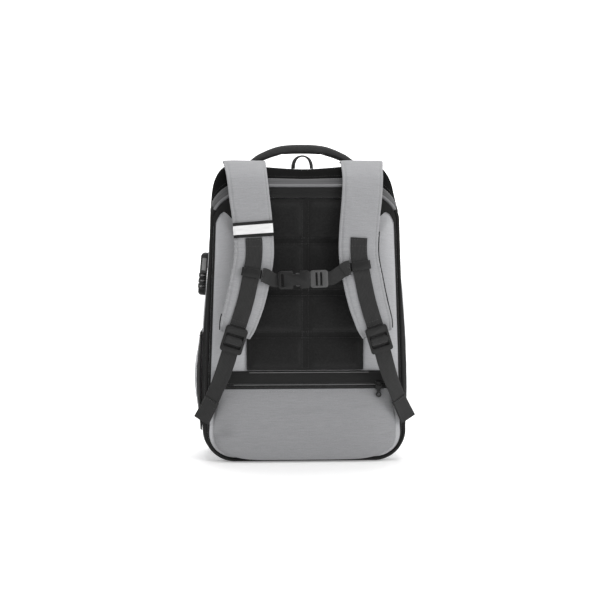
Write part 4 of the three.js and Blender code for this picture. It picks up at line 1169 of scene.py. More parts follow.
def make_yoke():
    """Black top of the back: a strip over the pad, a corner on each side, a narrow end beside each wing."""
    half_x, half_z = half_outline(BACK_Y)
    above = half_z >= YOKE[0][1]
    rim = np.stack([half_x[above], half_z[above]], axis=-1)
    run = lengths_along(rim)
    marks = np.interp([row[2] for row in YOKE[:-1]], rim[:, 1], run)
    marks = np.append(marks, run[-1])
    steps = np.linspace(0, run[-1], 90)
    outer_edge = np.stack([np.interp(steps, run, rim[:, i]) for i in (0, 1)], axis=-1)
    inner_edge = np.stack([np.interp(steps, marks, [row[i] for row in YOKE]) for i in (0, 1)], axis=-1)
    inner_edge[:, 0] = np.minimum(inner_edge[:, 0], outer_edge[:, 0] - 0.4)
    share = np.linspace(0, 1, 12)[:, None, None]
    right = outer_edge * (1 - share) + inner_edge * share
    flat = np.concatenate([right, (right * np.array([-1, 1]))[:, -2::-1]], axis=1)
    x, z = flat[..., 0], flat[..., 1]
    under = np.minimum(ON_BACK, BACK_FACE - wing_dome(x, z) - 0.3)
    face = under - YOKE_SHEET - 0.5 * np.maximum(waves(stacked(x, 0, z), (30, 1, 24), 8), -0.8)
    face = face - YOKE_ROLL * bell(z, PAD["high"], 4) * ease(PAD["half"] + 1, PAD["half"] - 8, np.abs(x))
    outer = stacked(x, face, z)
    yoke = cloth_sheet("back_yoke_cloth", outer, stacked(x, under, z), BLACK)
    placed(yoke, "black_fabric", "back_yoke")
    for corner in (slice(28, 56), slice(-56, -28)):
        SEAMS["pad"].append(outer[-2, corner] - np.array([0, 0.2, 0]))


def pad_lines(low, high, channels, step):
    """Grid lines across a quilted pad: even steps, with each channel's edges and middle among them."""
    marks = [low]
    for channel in channels:
        marks += [channel - PAD["channel"], channel, channel + PAD["channel"]]
    marks.append(high)
    lines = [np.array([low])]
    for start, stop in zip(marks[:-1], marks[1:]):
        count = max(1, round((stop - start) / step))
        lines.append(np.linspace(start, stop, count + 1)[1:])
    return np.concatenate(lines)


def make_pad():
    """Quilted mesh pad: cells swollen between sewn channels."""
    xs = pad_lines(-PAD["half"], PAD["half"], (0,), PAD["step"])
    zs = pad_lines(PAD["low"], PAD["high"], PAD_CHANNELS, PAD["step"])
    x, z = np.meshgrid(xs, zs)
    rim = np.minimum(PAD["half"] - np.abs(x), np.minimum(z - PAD["low"], PAD["high"] - z))
    groove = np.abs(x)
    for channel in PAD_CHANNELS:
        groove = np.minimum(groove, np.abs(z - channel))
    crown = ease(PAD["channel"] - 1, 12, groove) * ease(0, 14, rim)
    depth = PAD["groove"] + (PAD["cell"] - PAD["groove"]) * crown
    depth = np.maximum(depth, PAD["rim"] * bell(rim, 0, 2))
    outer, inner = stacked(x, ON_BACK - depth, z), stacked(x, ON_BACK, z)
    pad = cloth_sheet("back_pad", outer, inner, MESH)
    sewn = (rim < 0.5) | (groove < PAD["channel"] + 0.1)
    pinned = np.concatenate([np.flatnonzero(sewn), np.arange(x.size) + x.size])
    swollen(pad, *SWELL["pad"], pinned)
    subdivided(pad)
    lay_cloth(pad.data, places_of(pad)[:, [0, 2]])
    smooth(pad.data, 70)
    placed(pad, "mesh_fabric", "back_mesh")
    sides = (-PAD["seam"], PAD["seam"])
    lines = [stacked(xs, OFF_BACK, channel + side) for channel in PAD_CHANNELS for side in sides]
    lines += [stacked(side, OFF_BACK, zs) for side in sides]
    SEAMS["pad"].extend(laid_on(pad, line, INTO_BAG, 0) for line in lines)


def make_band():
    """Black band under the pad, with a rolled upper edge, and the pocket zip under it."""
    heights = np.linspace(BAND["low"], BAND["high"], 24)

    def face(x, z):
        bead = 1.3 * bell(z, BAND["high"] - 1.6, 1.3)
        swell = 0.9 * np.sin(math.pi * np.clip((z - BAND["low"]) / (BAND["high"] - BAND["low"]), 0, 1))
        return ON_BACK - BAND["sheet"] - bead - swell - 0.5 * waves(stacked(x, 0, z), (28, 1, 14), 12)

    half = BAND["half"]
    band, _ = panel("lower_band_cloth", heights, -half, half, 120, face, BLACK)
    placed(band, "black_fabric", "lower_band")
    line = stacked(np.linspace(-half + 2, half - 2, 90), OFF_BACK, BAND["low"] + 3)
    SEAMS["black"].append(laid_on(band, line, INTO_BAG))

    middle = (ZIP["low"] + ZIP["high"]) / 2
    heights = np.linspace(ZIP["low"], ZIP["high"], 9)

    def tape_face(x, z):
        return ON_BACK - ZIP["sheet"] - 0.3 * bell(np.abs(z - middle), 3.2, 0.6) + 0 * x

    tape, _ = panel("pocket_zip_tape", heights, ZIP["left"], ZIP["right"], 60, tape_face, STRAPPING)
    placed(tape, "webbing", "pocket_zip")
    along = np.linspace(ZIP["left"] + 1, ZIP["right"] - 1, 60)
    line = stacked(along, ON_BACK - ZIP["sheet"] - 0.4, middle)
    coil = grow_row("pocket_zip_coil", [line], POCKET_COIL, COIL, sideways=(0, 0, 1))
    placed(coil, "plastic")
    # Pale cords paint the highlights on the rolled edges of the band.
    for name, z, left, right in BAND_HIGHLIGHT_CORDS:
        line = stacked(np.linspace(left, right, 90), OFF_BACK, z)
        cord = grow_cord(name, laid_on(band, line, INTO_BAG, 0.3), 0.6, PALE_HIGHLIGHT_CORD)
        placed(cord, "webbing")


# Slack folds of the lower pocket: X and Z of the middle, reach across and up, and height
POCKET_FOLDS = (
    (27, 77, 48, 2.4, 1.5), (42, 33, 36, 2.2, 1.3), (-30, 84, 40, 3, -1.0), (-62, 58, 30, 3, 1.0),
    (70, 56, 34, 3, -0.9), (-20, 44, 50, 3, -0.8), (88, 84, 26, 2.6, 0.9),
)


def pocket_folds(x, z):
    """How far the slack folds stand out of the lower pocket, each one dipping a little at its ends."""
    folds = np.zeros_like(x)
    for middle, height, reach, rise, amount in POCKET_FOLDS:
        bend = height - 3 * ((x - middle) / reach) ** 2 * np.sign(amount)
        folds += amount * bell(z, bend, rise) * bell(x, middle, reach)
    return folds


# Pinch at each side of the pocket under the corner tab: it deepens down to a crease, then fills out again
PINCH = {"top": 86, "crease": 46, "low": 39, "left": 1.0, "right": 0.5, "reach": (0.74, 1.0)}


def make_pocket():
    """Lower pocket: slack cloth that bellies out, is pinched at its sides and hangs over the base seam."""
    steps = np.linspace(0, 1, 84)
    rows = smooth_line([row[:3] for row in POCKET], steps)
    droops = smooth_line([(row[0], row[1], row[3]) for row in POCKET], steps)[:, 2]
    u = np.linspace(-1, 1, 201)
    reach = np.abs(u)
    soft = (1 - reach**8) ** 0.7
    height = rows[:, :1]
    pinch = ease(PINCH["top"], PINCH["crease"], height) * ease(PINCH["low"], PINCH["crease"], height)
    depth = np.where(u < 0, PINCH["left"], PINCH["right"]) * pinch
    crown = soft * (1 - depth * ease(*PINCH["reach"], reach))
    z = height - np.maximum(0, droops)[:, None] * (1 - reach**7)
    x = rows[:, 1:2] * u
    y = ON_BACK - np.maximum(0, rows[:, 2:3]) * crown
    free = ease(0, 6, rows[:, 2:3]) * ease(0, 0.08, 1 - reach)
    ripple = waves(stacked(x, 0, z), (75, 1, 19), 21) + 0.5 * waves(stacked(x, 0, z), (30, 1, 11), 22)
    y = y + free * (0.7 * ripple - pocket_folds(x, z))
    inner = stacked(x, y, z)
    outer = stacked(x, y - POCKET_SHEET, z)
    # The pocket takes the darker grey copy, which is painted shade.
    piece = cloth_sheet("lower_pocket_cloth", outer, inner, GREY_POCKET_SHADED)
    placed(piece, "grey_fabric", "lower_pocket")
    SEAMS["grey"].append(outer[3] - np.array([0, 0.15, 0]))


# Left side


def make_bottle_pocket():
    """Stretch pocket on the left wall: a black gusset, a grey panel and an elastic hem, open at its top."""
    split = BOTTLE["gusset_rows"]
    gusset_depths = np.linspace(BOTTLE_Y[0], BOTTLE["gusset_y"], split)
    front_depths = np.linspace(BOTTLE["gusset_y"] + GAP, BOTTLE_Y[-1], 40)
    depths = np.concatenate([gusset_depths, front_depths])
    heights = np.linspace(BOTTLE["high"], BOTTLE["low"], 70)
    levels = np.linspace(BOTTLE["high"], BOTTLE["low"], len(BOTTLE_PUFF_DOWN))
    down = np.interp(heights, levels[::-1], BOTTLE_PUFF_DOWN[::-1])
    across = np.interp(depths, BOTTLE_Y, BOTTLE_PUFF_ACROSS)
    foot = np.array([wall_x(y, heights) for y in depths])
    off = BOTTLE["seat"] + BOTTLE["puff"] * across[:, None] * down
    upper = ease(BOTTLE["low"], BOTTLE["high"], heights)
    points = stacked(-(foot + off), depths[:, None], heights - BOTTLE["dip"] * across[:, None] * upper)
    gathers = 0.5 * np.sin(depths * 2 * math.pi / 6.5)[:, None] * bell(heights, BOTTLE["high"], 16)
    slack = 0.8 * waves(points, (1, 26, 30), 41) * np.minimum(1, across[:, None] * 2)
    skin = points - stacked(BOTTLE["sheet"] + np.maximum(gathers + slack, -0.9), 0, 0)
    gusset = cloth_sheet("bottle_gusset", skin[:split], points[:split], BLACK, upright=True)
    placed(gusset, "black_fabric", "pocket_gusset")
    front = cloth_sheet("bottle_pocket_cloth", skin[split:], points[split:], GREY, upright=True)
    placed(front, "grey_fabric", "bottle_pocket")
    SEAMS["grey"].append(skin[split + 2, 2:] - np.array([0.15, 0, 0]))
    SEAMS["grey"].append(skin[split:, 4] - np.array([0.15, 0, 0]))

    rise = np.linspace(GAP, BOTTLE["hem"] + GAP, 6)[::-1]
    ribs = 0.35 * np.sin(depths * 2 * math.pi / 2.4)[:, None] * np.ones_like(rise)
    mouth = points[:, :1] + stacked(0, 0, rise)
    roll = np.sin(math.pi * np.linspace(0, 1, 6)) * 0.6
    hem = cloth_sheet("bottle_hem", mouth - stacked(BOTTLE["sheet"] + ribs + roll, 0, 0), mouth, STRAPPING)
    placed(hem, "webbing", "pocket_hem")


# Harness


def strap_way(sign):
    """The strap's way from its seam on the top to its lower end, with its half-width and thickness."""
    rows = np.array(STRAP, float) * np.array([sign, 1, 1, 1, 1])
    shares = np.linspace(0, 1, STRAP_RINGS)
    line = smooth_line(rows[:, :3], shares)
    sizes = smooth_line(np.pad(rows[:, 3:], ((0, 0), (0, 1))), shares)
    along = unit(np.gradient(line, axis=0))
    hints = unit(stacked(0, along[:, 2], -along[:, 1]))
    return frames_along(line, hints), sizes[:, 0], sizes[:, 1]


def strap_at(strap, heights):
    """The strap's way, half-width and thickness at heights on its hanging part."""
    way, half, thick = strap
    levels = -way.place[:, 2]
    heights = -np.atleast_1d(np.asarray(heights, float))

    def mix(values):
        return np.stack([np.interp(heights, levels, column) for column in np.atleast_2d(values.T)], axis=-1)

    along, across = unit(mix(way.along)), unit(mix(way.across))
    turned = Way(mix(way.place), along, across, unit(np.cross(along, across)))
    return turned, mix(half)[:, 0], mix(thick)[:, 0]


def on_strap(strap, points):
    """Where points lie on a strap: across it, along it, out of it, and its half-width there."""
    way, half, _ = strap
    run = lengths_along(way.place)
    nearest = np.array([np.argmin(np.sum((way.place - point) ** 2, axis=1)) for point in points])
    shift = points - way.place[nearest]
    across = np.sum(shift * way.across[nearest], axis=1)
    along = run[nearest] + np.sum(shift * way.along[nearest], axis=1)
    return across, along, np.sum(shift * way.out[nearest], axis=1), half[nearest]


STRAP_SLACK = 2.2  # how much thinner a strap starts before it swells
STRAP_SEAM = 5  # stitching line in from the strap's edge
STRAP_RINGS = 150
STRAP_SIDES = 44
STRAP_TAPER = 22  # how far from its seam on the top a strap reaches its thickness
# Puckers of the cloth: how far they stand out along the outer edge of each strap and the inner edges, their
# pitch, and how far down a strap they begin and are full
PUCKER = {"left": 0.8, "right": 0.35, "inner": 0.2, "pitch": 9, "start": (110, 190)}
LINING_FACES = -0.45  # a face turned further than this to the bag belongs to the lining
STRAP_TRIM_AND_SHADE = {"left": (201, 224), "right": (203, 358)}  # heights of the black cord on the outer edge, partly painted shade: on the left strap it paints the shadow at the strap's lower end


def make_strap(side, sign):
    """Padded shoulder strap: swollen, then drawn in along its edge stitching, with a mesh lining behind."""
    strap = strap_way(sign)
    way, half, thick = strap
    sewn = 0.25 + 0.75 * ease(0, STRAP_TAPER, lengths_along(way.place))
    rings = padded_rings(way, half - 0.5, (thick - STRAP_SLACK) * sewn, STRAP_SIDES)
    count = len(rings) * STRAP_SIDES
    creases = 0.5 * waves(rings, (12, 12, 9), 61 + sign)
    rings = rings + creases[..., None] * way.out[:, None]
    # The strap takes the darker grey copy, which is painted shade.
    pad = tube(f"shoulder_strap_{side}_pad", rings, GREY_STRAP_SHADED)
    number = np.arange(count)
    half_round = STRAP_SIDES // 2
    edges = np.isin(number % half_round, (0, half_round - 1))
    ends = (number < STRAP_SIDES) | (number >= count - STRAP_SIDES)
    swollen(pad, *SWELL["strap"], np.flatnonzero(edges | ends))
    subdivided(pad)
    points = places_of(pad)
    across, along, out, edge = on_strap(strap, points)
    inset = edge - np.abs(across)
    loose = np.where(across * sign > 0, PUCKER[side], PUCKER["inner"]) * ease(*PUCKER["start"], along)
    uneven = ease(-0.5, 1.5, out) * (0.7 + 0.3 * np.sin(along / 13 + sign))
    wave = np.sin(along * 2 * math.pi / PUCKER["pitch"] + 2 * np.sin(along / 31))
    pucker = loose * uneven * wave * bell(inset, 2.2, 3.2)
    slack = 0.5 * waves(points, (30, 30, 44), 51 + sign)
    drawn = 0.9 * ease(10, 80, along) * bell(inset, STRAP_SEAM, 1.6)
    lift = (slack + pucker - drawn) * ease(0.3, 2.0, np.abs(out))
    normal = np.zeros(3 * len(points), np.float32)
    pad.data.vertices.foreach_get("normal", normal)
    move_points(pad, points + normal.reshape(-1, 3) * lift[:, None])
    lay_cloth(pad.data, np.stack([across, along], axis=-1))
    line_underside(pad, strap)
    smooth(pad.data, 70)
    placed(pad, "grey_fabric", f"shoulder_strap_{side}")
    for edge_side in (-1, 1):
        path = beside(way, edge_side * (half - STRAP_SEAM), 40)[4:-6]
        SEAMS["grey"].append(laid_on(pad, path, -way.out[4:-6]))
    # A black cord down the outer edge: painted shadow at the left strap's lower end, and on the right strap
    # an edge trim with painted shade beside it.
    low, high = STRAP_TRIM_AND_SHADE[side]
    edge_way, edge_half, _ = strap_at(strap, np.linspace(high, low, 40))
    path = beside(edge_way, sign * (edge_half + 0.3), 0.6)
    placed(grow_cord(f"strap_trim_and_shade_{side}", path, 0.8, BLACK_SATIN), "black_fabric")
    return strap


def line_underside(pad, strap):
    """Gives the faces that look at the bag the lining's finish."""
    way = strap[0]
    pad.data.materials.append(MESH)
    centres = np.array([list(face.center) for face in pad.data.polygons]) / MM
    normals = np.array([list(face.normal) for face in pad.data.polygons])
    nearest = [np.argmin(np.sum((way.place - centre) ** 2, axis=1)) for centre in centres]
    facing = np.sum(normals * way.out[nearest], axis=1)
    pad.data.polygons.foreach_set("material_index", (facing < LINING_FACES).astype(np.int32))


def make_strap_webbing(side, strap):
    """Webbing sewn down the strap; it lifts over the chest slider and ends behind the ladder lock."""
    heights = np.linspace(WEBBING["top"], WEBBING["low"], 90)
    way, _, thick = strap_at(strap, heights)
    lift = (CLIP["lip"] + GAP) * np.exp(-(((heights - CLIP_HEIGHT[side]) / 15) ** 4))
    seat = thick / 2 + SEAT + lift
    raised = way._replace(place=beside(way, 0, seat + WEBBING["thick"] / 2))
    piece = ribbon(f"strap_webbing_{side}_weave", raised, WEBBING["half"], WEBBING["thick"], STRAPPING)
    placed(piece, "webbing", f"strap_webbing_{side}")
    top = seat + WEBBING["thick"] + 0.05
    stitch_along(way, WEBBING["half"] - 2, top, 1, 20)
    for at in (2, 8, 80, 84):
        stitch_across(way, at, WEBBING["half"] - 2.2, top[at])


def make_reflective(strap):
    """Reflective band across the left strap, between two black edges."""
    spread = np.linspace(-1, 1, 25)
    strips = {}
    for part, (node, high, low) in STRIPES.items():
        heights = np.linspace(high, low, 7)
        way, half, thick = strap_at(strap, heights)
        bulge = 0.35 * np.sin(math.pi * np.linspace(0, 1, 7))[:, None]
        drop = 1.2 * spread**8

        def layer(offset):
            across = (spread * (half[:, None] - 0.5))[..., None]
            out = (thick[:, None] / 2 + SEAT + offset - drop)[..., None]
            return way.place[:, None] + across * way.across[:, None] + out * way.out[:, None]

        finish, slot = (TAPE, "reflective_tape") if part == "band" else (BLACK_SATIN, "black_fabric")
        strips[part] = cloth_sheet(f"reflective_{part}_tape", layer(1.1 + bulge), layer(-0.6), finish)
        placed(strips[part], slot, node)
    band = strips.pop("band")


def ladder_place(strap):
    """Place and directions of the ladder lock on the strap's lower end."""
    way, _, thick = strap_at(strap, LADDER["height"] + LADDER["reach"])
    lift = thick[0] / 2 + SEAT + WEBBING["thick"] + LADDER["seat"] + LADDER["depth"] / 2
    middle = way.place[0] + lift * way.out[0] + LADDER["reach"] * way.along[0]
    return Way(middle, way.along[0], way.across[0], way.out[0])


def make_lower_webbing(side, sign, strap):
    """Webbing from the ladder lock to the tab at the lower corner, turning to face the side."""
    lock = ladder_place(strap)
    threaded = [lock.place + out * lock.out - up * lock.along for up, out in THREADING]
    tab_top = mirrored(TAB_TOP, sign)
    points = smooth_line([*threaded, mirrored(WEBBING_PASS, sign), tab_top], np.linspace(0, 1, 81))
    start, length = WEBBING_TURN
    turn = np.clip((lock.place[2] - start - points[:, 2]) / length, 0, 1)[:, None]
    facing = unit(mirrored(WEBBING_FACING, sign))
    square = np.cross(unit(steps_along(points)), lock.across)
    hints = np.where(turn > 0, lock.out * (1 - turn) + facing * turn, square)
    way = frames_along(points, hints)
    piece = ribbon(f"lower_webbing_{side}_weave", way, WEBBING["half"], WEBBING["thick"], STRAPPING)
    placed(piece, "webbing", f"lower_webbing_{side}")
    hold = np.linspace(LADDER_HOLDER["high"], LADDER_HOLDER["low"], 12)[:, None]
    fall = LADDER_HOLDER["fall"] * ease(4, LADDER_HOLDER["low"], hold)
    drop = LADDER["depth"] / 2 + LADDER_HOLDER["behind"] + fall
    behind = frames_along(lock.place - hold * lock.along - drop * lock.out, lock.out)
    half, thick = LADDER_HOLDER["half"], LADDER_HOLDER["thick"]
    holder = ribbon(f"ladder_holder_{side}", behind, half, thick, STRAPPING)
    placed(holder, "webbing")
    make_tab(side, sign, points, hints[-1])


def make_tab(side, sign, webbing, facing):
    """Corner tab: doubled webbing sewn to the piping, with its square end standing out past the side."""
    leave = unit(webbing[-1] - webbing[-3])
    start = [webbing[-1] + distance * leave for distance in (2 * GAP, 5)]
    shares = np.linspace(0, 1, 40)
    points = smooth_line([*start, mirrored(TAB_BEND, sign), mirrored(TAB_END, sign)], shares)
    sides = [mirrored(facing_there, sign) for facing_there in TAB_FACINGS]
    way = frames_along(points, unit(smooth_line([facing, facing, *sides], shares)))
    piece = ribbon(f"corner_tab_{side}_cloth", way, TAB["half"], TAB["thick"], STRAPPING)
    placed(piece, "webbing", f"corner_tab_{side}")
    top = TAB["thick"] / 2 + 0.05
    stitch_along(way, TAB["half"] - 2.5, top, 2, 36)
    for at in (2, 8):
        stitch_across(way, at, TAB["half"] - 2.5, top)


def make_chest_strap(straps):
    """Chest webbing from each slider to the buckle, with a sewn keeper beside each slider."""
    turn = math.radians(BUCKLE["tilt"])
    along = np.array([math.cos(turn), 0, math.sin(turn)])
    middle = np.array([BUCKLE["x"], BUCKLE["y"], BUCKLE["z"]], float)
    ends = {"left": -BUCKLE["length"] / 2, "right": BUCKLE["length"] / 2 + BUCKLE["plug"]}
    edge = WEBBING["half"] + CLIP["play"] + CLIP["wall"]
    for side, sign in SIDES.items():
        way, _, thick = strap_at(straps[side], CLIP_HEIGHT[side])
        out = thick[0] / 2 + SEAT + CLIP["lip"] + GAP + CLIP["meets"]
        clip = way.place[0] + out * way.out[0]
        from_clip = [clip - sign * (edge + gap) * way.across[0] for gap in (2 * GAP, 5)]
        from_buckle = [middle + (ends[side] + sign * gap) * along for gap in (5, 2 * GAP)]
        points = smooth_line([*from_clip, *from_buckle], np.linspace(0, 1, 60))
        route = frames_along(points, (0, -1, 0))
        piece = ribbon(f"chest_webbing_{side}", route, CHEST["half"], CHEST["thick"], STRAPPING)
        placed(piece, "webbing", f"sternum_webbing_{side}")
        fold = Way(*(values[lengths_along(points) < CHEST["keeper"]] for values in route))
        thick = CHEST["keeper_thick"]
        placed(ribbon(f"chest_keeper_{side}", fold, CHEST["half"] + 0.8, thick, STRAPPING), "webbing")
        for at in (4, 10):
            stitch_across(route, at, CHEST["half"] - 1, thick / 2 + 0.1)


# Hardware: the frame's own solids with their edges rounded


def softened(node, name, finish, slot, width, body="bag"):
    """A copy of a frame node with rounded edges, standing for it."""
    mesh = frame["nodes"][node].data.copy()
    mesh.materials.clear()
    work = bmesh.new()
    work.from_mesh(mesh)
    bmesh.ops.remove_doubles(work, verts=work.verts, dist=0.02 * MM)
    bmesh.ops.dissolve_limit(work, angle_limit=math.radians(1), verts=work.verts, edges=work.edges)
    work.to_mesh(mesh)
    work.free()
    piece = rounded(linked(name, mesh), width, 2)
    piece.data.materials.append(finish)
    smooth(piece.data, 40)
    return placed(piece, slot, node, body=body)


def make_hardware():
    """Ladder locks, sliders, buckle, zip slider with its puller, and the lock's case."""
    for side in SIDES:
        softened(f"ladder_lock_{side}", f"ladder_lock_{side}_moulding", PLASTIC, "plastic", 1.0)
        softened(f"sternum_slider_{side}", f"chest_slider_{side}", PLASTIC, "plastic", 0.5)
    softened("buckle_socket", "buckle_socket_moulding", PLASTIC, "plastic", 0.7)
    softened("buckle_plug", "buckle_plug_moulding", PLASTIC_PALE, "plastic", 0.6)
    softened("zip_slider", "zip_slider_body", PLASTIC, "plastic", 0.35)
    softened("zip_puller", "zip_pull_tab", PLASTIC, "plastic", 0.3, body="zip_puller")
    softened("lock_body", "lock_case", LOCK_PAINT, "lock_case", 0.8)


def dial_frame(joint):
    """A dial's middle, its axis, the direction out of the bag and the one towards the straps."""
    axis = Vector(joint["axis"]).normalized()
    start = Vector((-1, 0, 0))
    start = (start - start.dot(axis) * axis).normalized()
    return np.array(joint["pos_m"]) / MM, np.array(axis), np.array(start), np.array(axis.cross(start))


def slab(name, middle, ways, sizes, finish, edge):
    """A small block with rounded edges: its middle, three directions, and its size along each."""
    corners = [(i, j, k) for i in (-0.5, 0.5) for j in (-0.5, 0.5) for k in (-0.5, 0.5)]
    points = middle + np.array(corners) * sizes @ np.array(ways)
    faces = [(0, 1, 3, 2), (4, 6, 7, 5), (0, 4, 5, 1), (2, 3, 7, 6), (0, 2, 6, 4), (1, 5, 7, 3)]
    piece = rounded(made(name, points, faces, finish), edge, 3)
    smooth(piece.data, 40)
    return piece


def make_lock_trim(joint):
    """Paler plate above the dials and black cap below them, on the side that faces the straps."""
    first, up, out, near = dial_frame(joint)
    for name, finish, rise, tall, wide in LOCK_TRIM:
        middle = first + (rise - LOCK["first"]) * up + LOCK["reach"] * out + LOCK["near"] * near
        sizes = (LOCK["trim"], wide, tall)
        placed(slab(name, middle, (near, out, up), sizes, finish, LOCK["edge"]), "lock_case")


def number_mesh(number):
    """A flat mesh of one digit, about one unit tall and centred."""
    text = bpy.data.curves.new("digit", "FONT")
    text.body = str(number)
    text.size = 1.4
    text.align_x = "CENTER"
    text.align_y = "CENTER"
    text.resolution_u = 3
    holder = linked("digit", text)
    bpy.context.view_layer.update()
    mesh = bpy.data.meshes.new_from_object(holder.evaluated_get(bpy.context.evaluated_depsgraph_get()))
    bpy.data.objects.remove(holder)
    points = np.array([list(vertex.co) for vertex in mesh.vertices])
    faces = [list(face.vertices) for face in mesh.polygons]
    bpy.data.meshes.remove(mesh)
    return points - (points.max(0) + points.min(0)) / 2, faces


def make_dial(number, joint):
    """A dial with a groove between its ten numbers, and the numbers on it."""
    centre, axis, start, side = dial_frame(joint)
    profile = [(radius, -height) for radius, height in DIAL_SECTION] + list(DIAL_SECTION[::-1])
    angle = np.arange(DIAL["sides"]) / DIAL["sides"] * 2 * math.pi
    notch = 1 - DIAL["groove"] * bell(np.sin(angle * DIAL["digits"] / 2), 0, 0.35)
    ways = np.cos(angle)[:, None] * start + np.sin(angle)[:, None] * side
    rings = []
    for radius, height in profile:
        reach = DIAL["radius"] * radius * (notch if radius > 0.9 else np.ones_like(notch))
        rings.append(centre + axis * height * DIAL["height"] / 2 + ways * np.maximum(reach, 0.4)[:, None])
    wheel = tube(f"dial_{number}_wheel", np.array(rings), DIAL_PAINT, angle=35)
    placed(wheel, "lock_case", f"lock_dial_{number}", body=f"lock_dial_{number}")

    points, faces = [], []
    for digit in range(DIAL["digits"]):
        flat, loops = number_mesh(digit)
        turn = (digit + 0.5) * 2 * math.pi / DIAL["digits"]
        turn = turn + flat[:, 1] * DIAL["digit_tall"] / DIAL["radius"]
        ways = np.cos(turn)[:, None] * start + np.sin(turn)[:, None] * side
        faces += [[i + sum(map(len, points)) for i in loop] for loop in loops]
        reach = DIAL["face"] * DIAL["radius"] + DIAL["paint"]
        points.append(centre + flat[:, :1] * DIAL["digit_wide"] * axis + ways * reach)
    paint = made(f"dial_{number}_numbers", np.vstack(points), faces, DIGITS)
    placed(paint, "lock_case", body=f"lock_dial_{number}")


# Top of the bag


def make_handle():
    """Padded carry handle arching over the top, sewn flat at both ends."""
    half_rows = [(-x, lift, half, thick) for x, lift, half, thick in HANDLE]
    rows = half_rows + [(-x, lift, half, thick) for x, lift, half, thick in half_rows[-2::-1]]
    edges = [HANDLE_Y + side * HANDLE[0][2] for side in (-1, 0, 1)]
    places = [(x, HANDLE_Y, max(top_height(x, y) for y in edges) + lift) for x, lift, _, _ in rows]
    shares = np.linspace(0, 1, 120)
    line = smooth_line(places, shares)
    sizes = smooth_line([(half, thick, 0) for _, _, half, thick in rows], shares)
    way = frames_along(line, stacked(0, HANDLE_LEAN * (2 * shares - 1) ** 4, 1))
    stuffing = HANDLE_STUFFING * ease(4, 9, sizes[:, 1])
    rings = padded_rings(way, sizes[:, 0] - 0.4, sizes[:, 1] + stuffing, HANDLE_SIDES, 0.6)
    grip = tube("carry_handle_grip", rings, HANDLE_CLOTH)
    ring = np.repeat(np.arange(len(rings)), HANDLE_SIDES)
    sewn = np.flatnonzero((ring < HANDLE_SEWN) | (ring >= len(rings) - HANDLE_SEWN))
    swollen(grip, *SWELL["handle"], sewn)
    run = np.repeat(lengths_along(line)[:, None], HANDLE_SIDES, axis=1)
    girth = np.broadcast_to(np.arange(HANDLE_SIDES) * 2.2, run.shape)
    lay_cloth(grip.data, np.stack([girth, run], axis=-1).reshape(-1, 2))
    placed(grip, "black_fabric", "carry_handle")
    for edge in (-1, 1):
        path = beside(way, edge * (sizes[:, 0] - 3), 20)[2:-2]
        SEAMS["black"].append(laid_on(grip, path, -way.out[2:-2]))


def make_loop():
    """Small hanging loop of webbing on the top."""
    foot = top_height(0, LOOP["y"]) + SEAT
    angle = np.linspace(math.pi, 0, 50)
    points = stacked(LOOP["span"] * np.cos(angle), LOOP["y"], foot + LOOP["rise"] * np.sin(angle) ** 0.8)
    hints = unit(points - np.array([0, LOOP["y"], foot - 0.01]))
    twist = math.radians(LOOP["twist"]) * np.abs(np.cos(angle)) ** 1.5
    turned = hints * np.cos(twist)[:, None] + np.array([0, -1, 0]) * np.sin(twist)[:, None]
    way = frames_along(points, turned)
    piece = ribbon("hang_loop_webbing", way, LOOP["half"], LOOP["folded"], STRAPPING)
    placed(piece, "webbing", "hang_loop")


# Stitches


def make_stitches():
    """Every row of stitches, one piece for each thread."""
    for colour, finish, slot in (
        ("grey", GREY_THREAD, "grey_fabric"),
        ("black", BLACK_THREAD, "black_fabric"),
        ("pad", PAD_THREAD, "mesh_fabric"),
    ):
        paths = [np.asarray(path) for path in SEAMS[colour] if len(path) > 1]
        placed(grow_row(f"{colour}_stitches", paths, STITCH, finish), slot)


# Stage


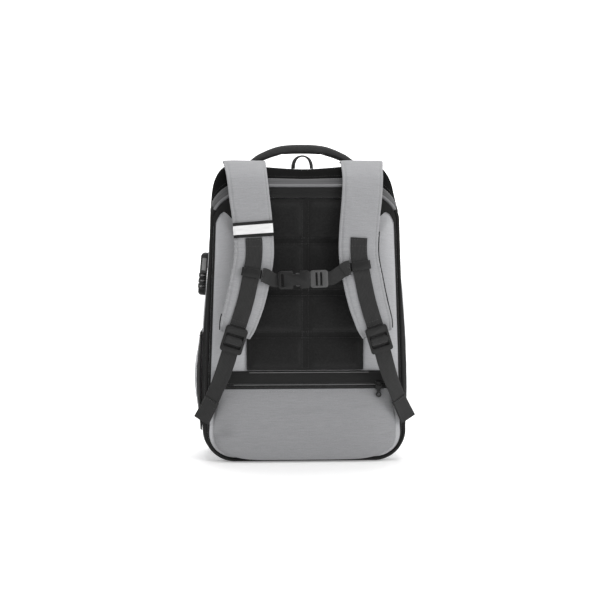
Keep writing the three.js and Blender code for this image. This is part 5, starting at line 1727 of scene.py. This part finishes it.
def make_stage():
    """Pale floor, soft light all round and a camera at the photograph's angle."""
    half, front, back, high = (ROOM[size] for size in ("half", "front", "back", "high"))
    floor = [(-half, front, 0), (half, front, 0), (half, back, 0), (-half, back, 0)]
    wall = [(-half, back, 0), (half, back, 0), (half, back, high), (-half, back, high)]
    for name, corners, finish in (("floor", floor, FLOOR), ("backdrop", wall, BACKDROP)):
        made(name, corners, [(0, 1, 2, 3)], finish)
    world = bpy.data.worlds.new("white_room")
    world.use_nodes = True
    sky = world.node_tree.nodes["Background"]
    sky.inputs["Color"].default_value = (1, 1, 1, 1)
    sky.inputs["Strength"].default_value = SKY
    bpy.context.scene.world = world
    for name, (place, power, size) in LIGHTS.items():
        lamp = bpy.data.lights.new(name, "AREA")
        lamp.energy = power
        lamp.size = size
        holder = bpy.data.objects.new(name, lamp)
        holder.location = place
        aim = Vector(LIGHTS_AIM) - Vector(place)
        holder.rotation_euler = aim.to_track_quat("-Z", "Y").to_euler()
        bpy.context.scene.collection.objects.link(holder)

    turn, rise = math.radians(VIEW_AZIMUTH), math.radians(VIEW_ELEVATION)
    level = math.cos(rise)
    away = Vector((math.sin(turn) * level, -math.cos(turn) * level, math.sin(rise)))
    lens = bpy.data.cameras.new("photo_camera")
    lens.lens = lens.sensor_width * VIEW_DISTANCE / VIEW_WIDTH
    camera = bpy.data.objects.new("photo_camera", lens)
    camera.location = (Vector(VIEW_CENTRE) + VIEW_DISTANCE * away) * MM
    camera.rotation_euler = (-away).to_track_quat("-Z", "Y").to_euler()
    bpy.context.scene.collection.objects.link(camera)
    bpy.context.scene.camera = camera
    bpy.context.scene.view_settings.view_transform = "Standard"


# Assembly

make_stage()
make_edge_zip()
make_walls()
make_front()
make_back()
make_yoke()
make_pad()
make_band()
make_pocket()
make_bottle_pocket()
straps = {}
for strap_side, strap_sign in SIDES.items():
    straps[strap_side] = make_strap(strap_side, strap_sign)
    make_strap_webbing(strap_side, straps[strap_side])
    make_lower_webbing(strap_side, strap_sign, straps[strap_side])
make_reflective(straps["left"])
make_chest_strap(straps)
make_hardware()
dial_joints = [joint for joint in frame["joints"] if joint["name"].startswith("dial")]
make_lock_trim(dial_joints[0])
for dial_number, dial_joint in enumerate(dial_joints, 1):
    make_dial(dial_number, dial_joint)
make_handle()
make_loop()
make_stitches()
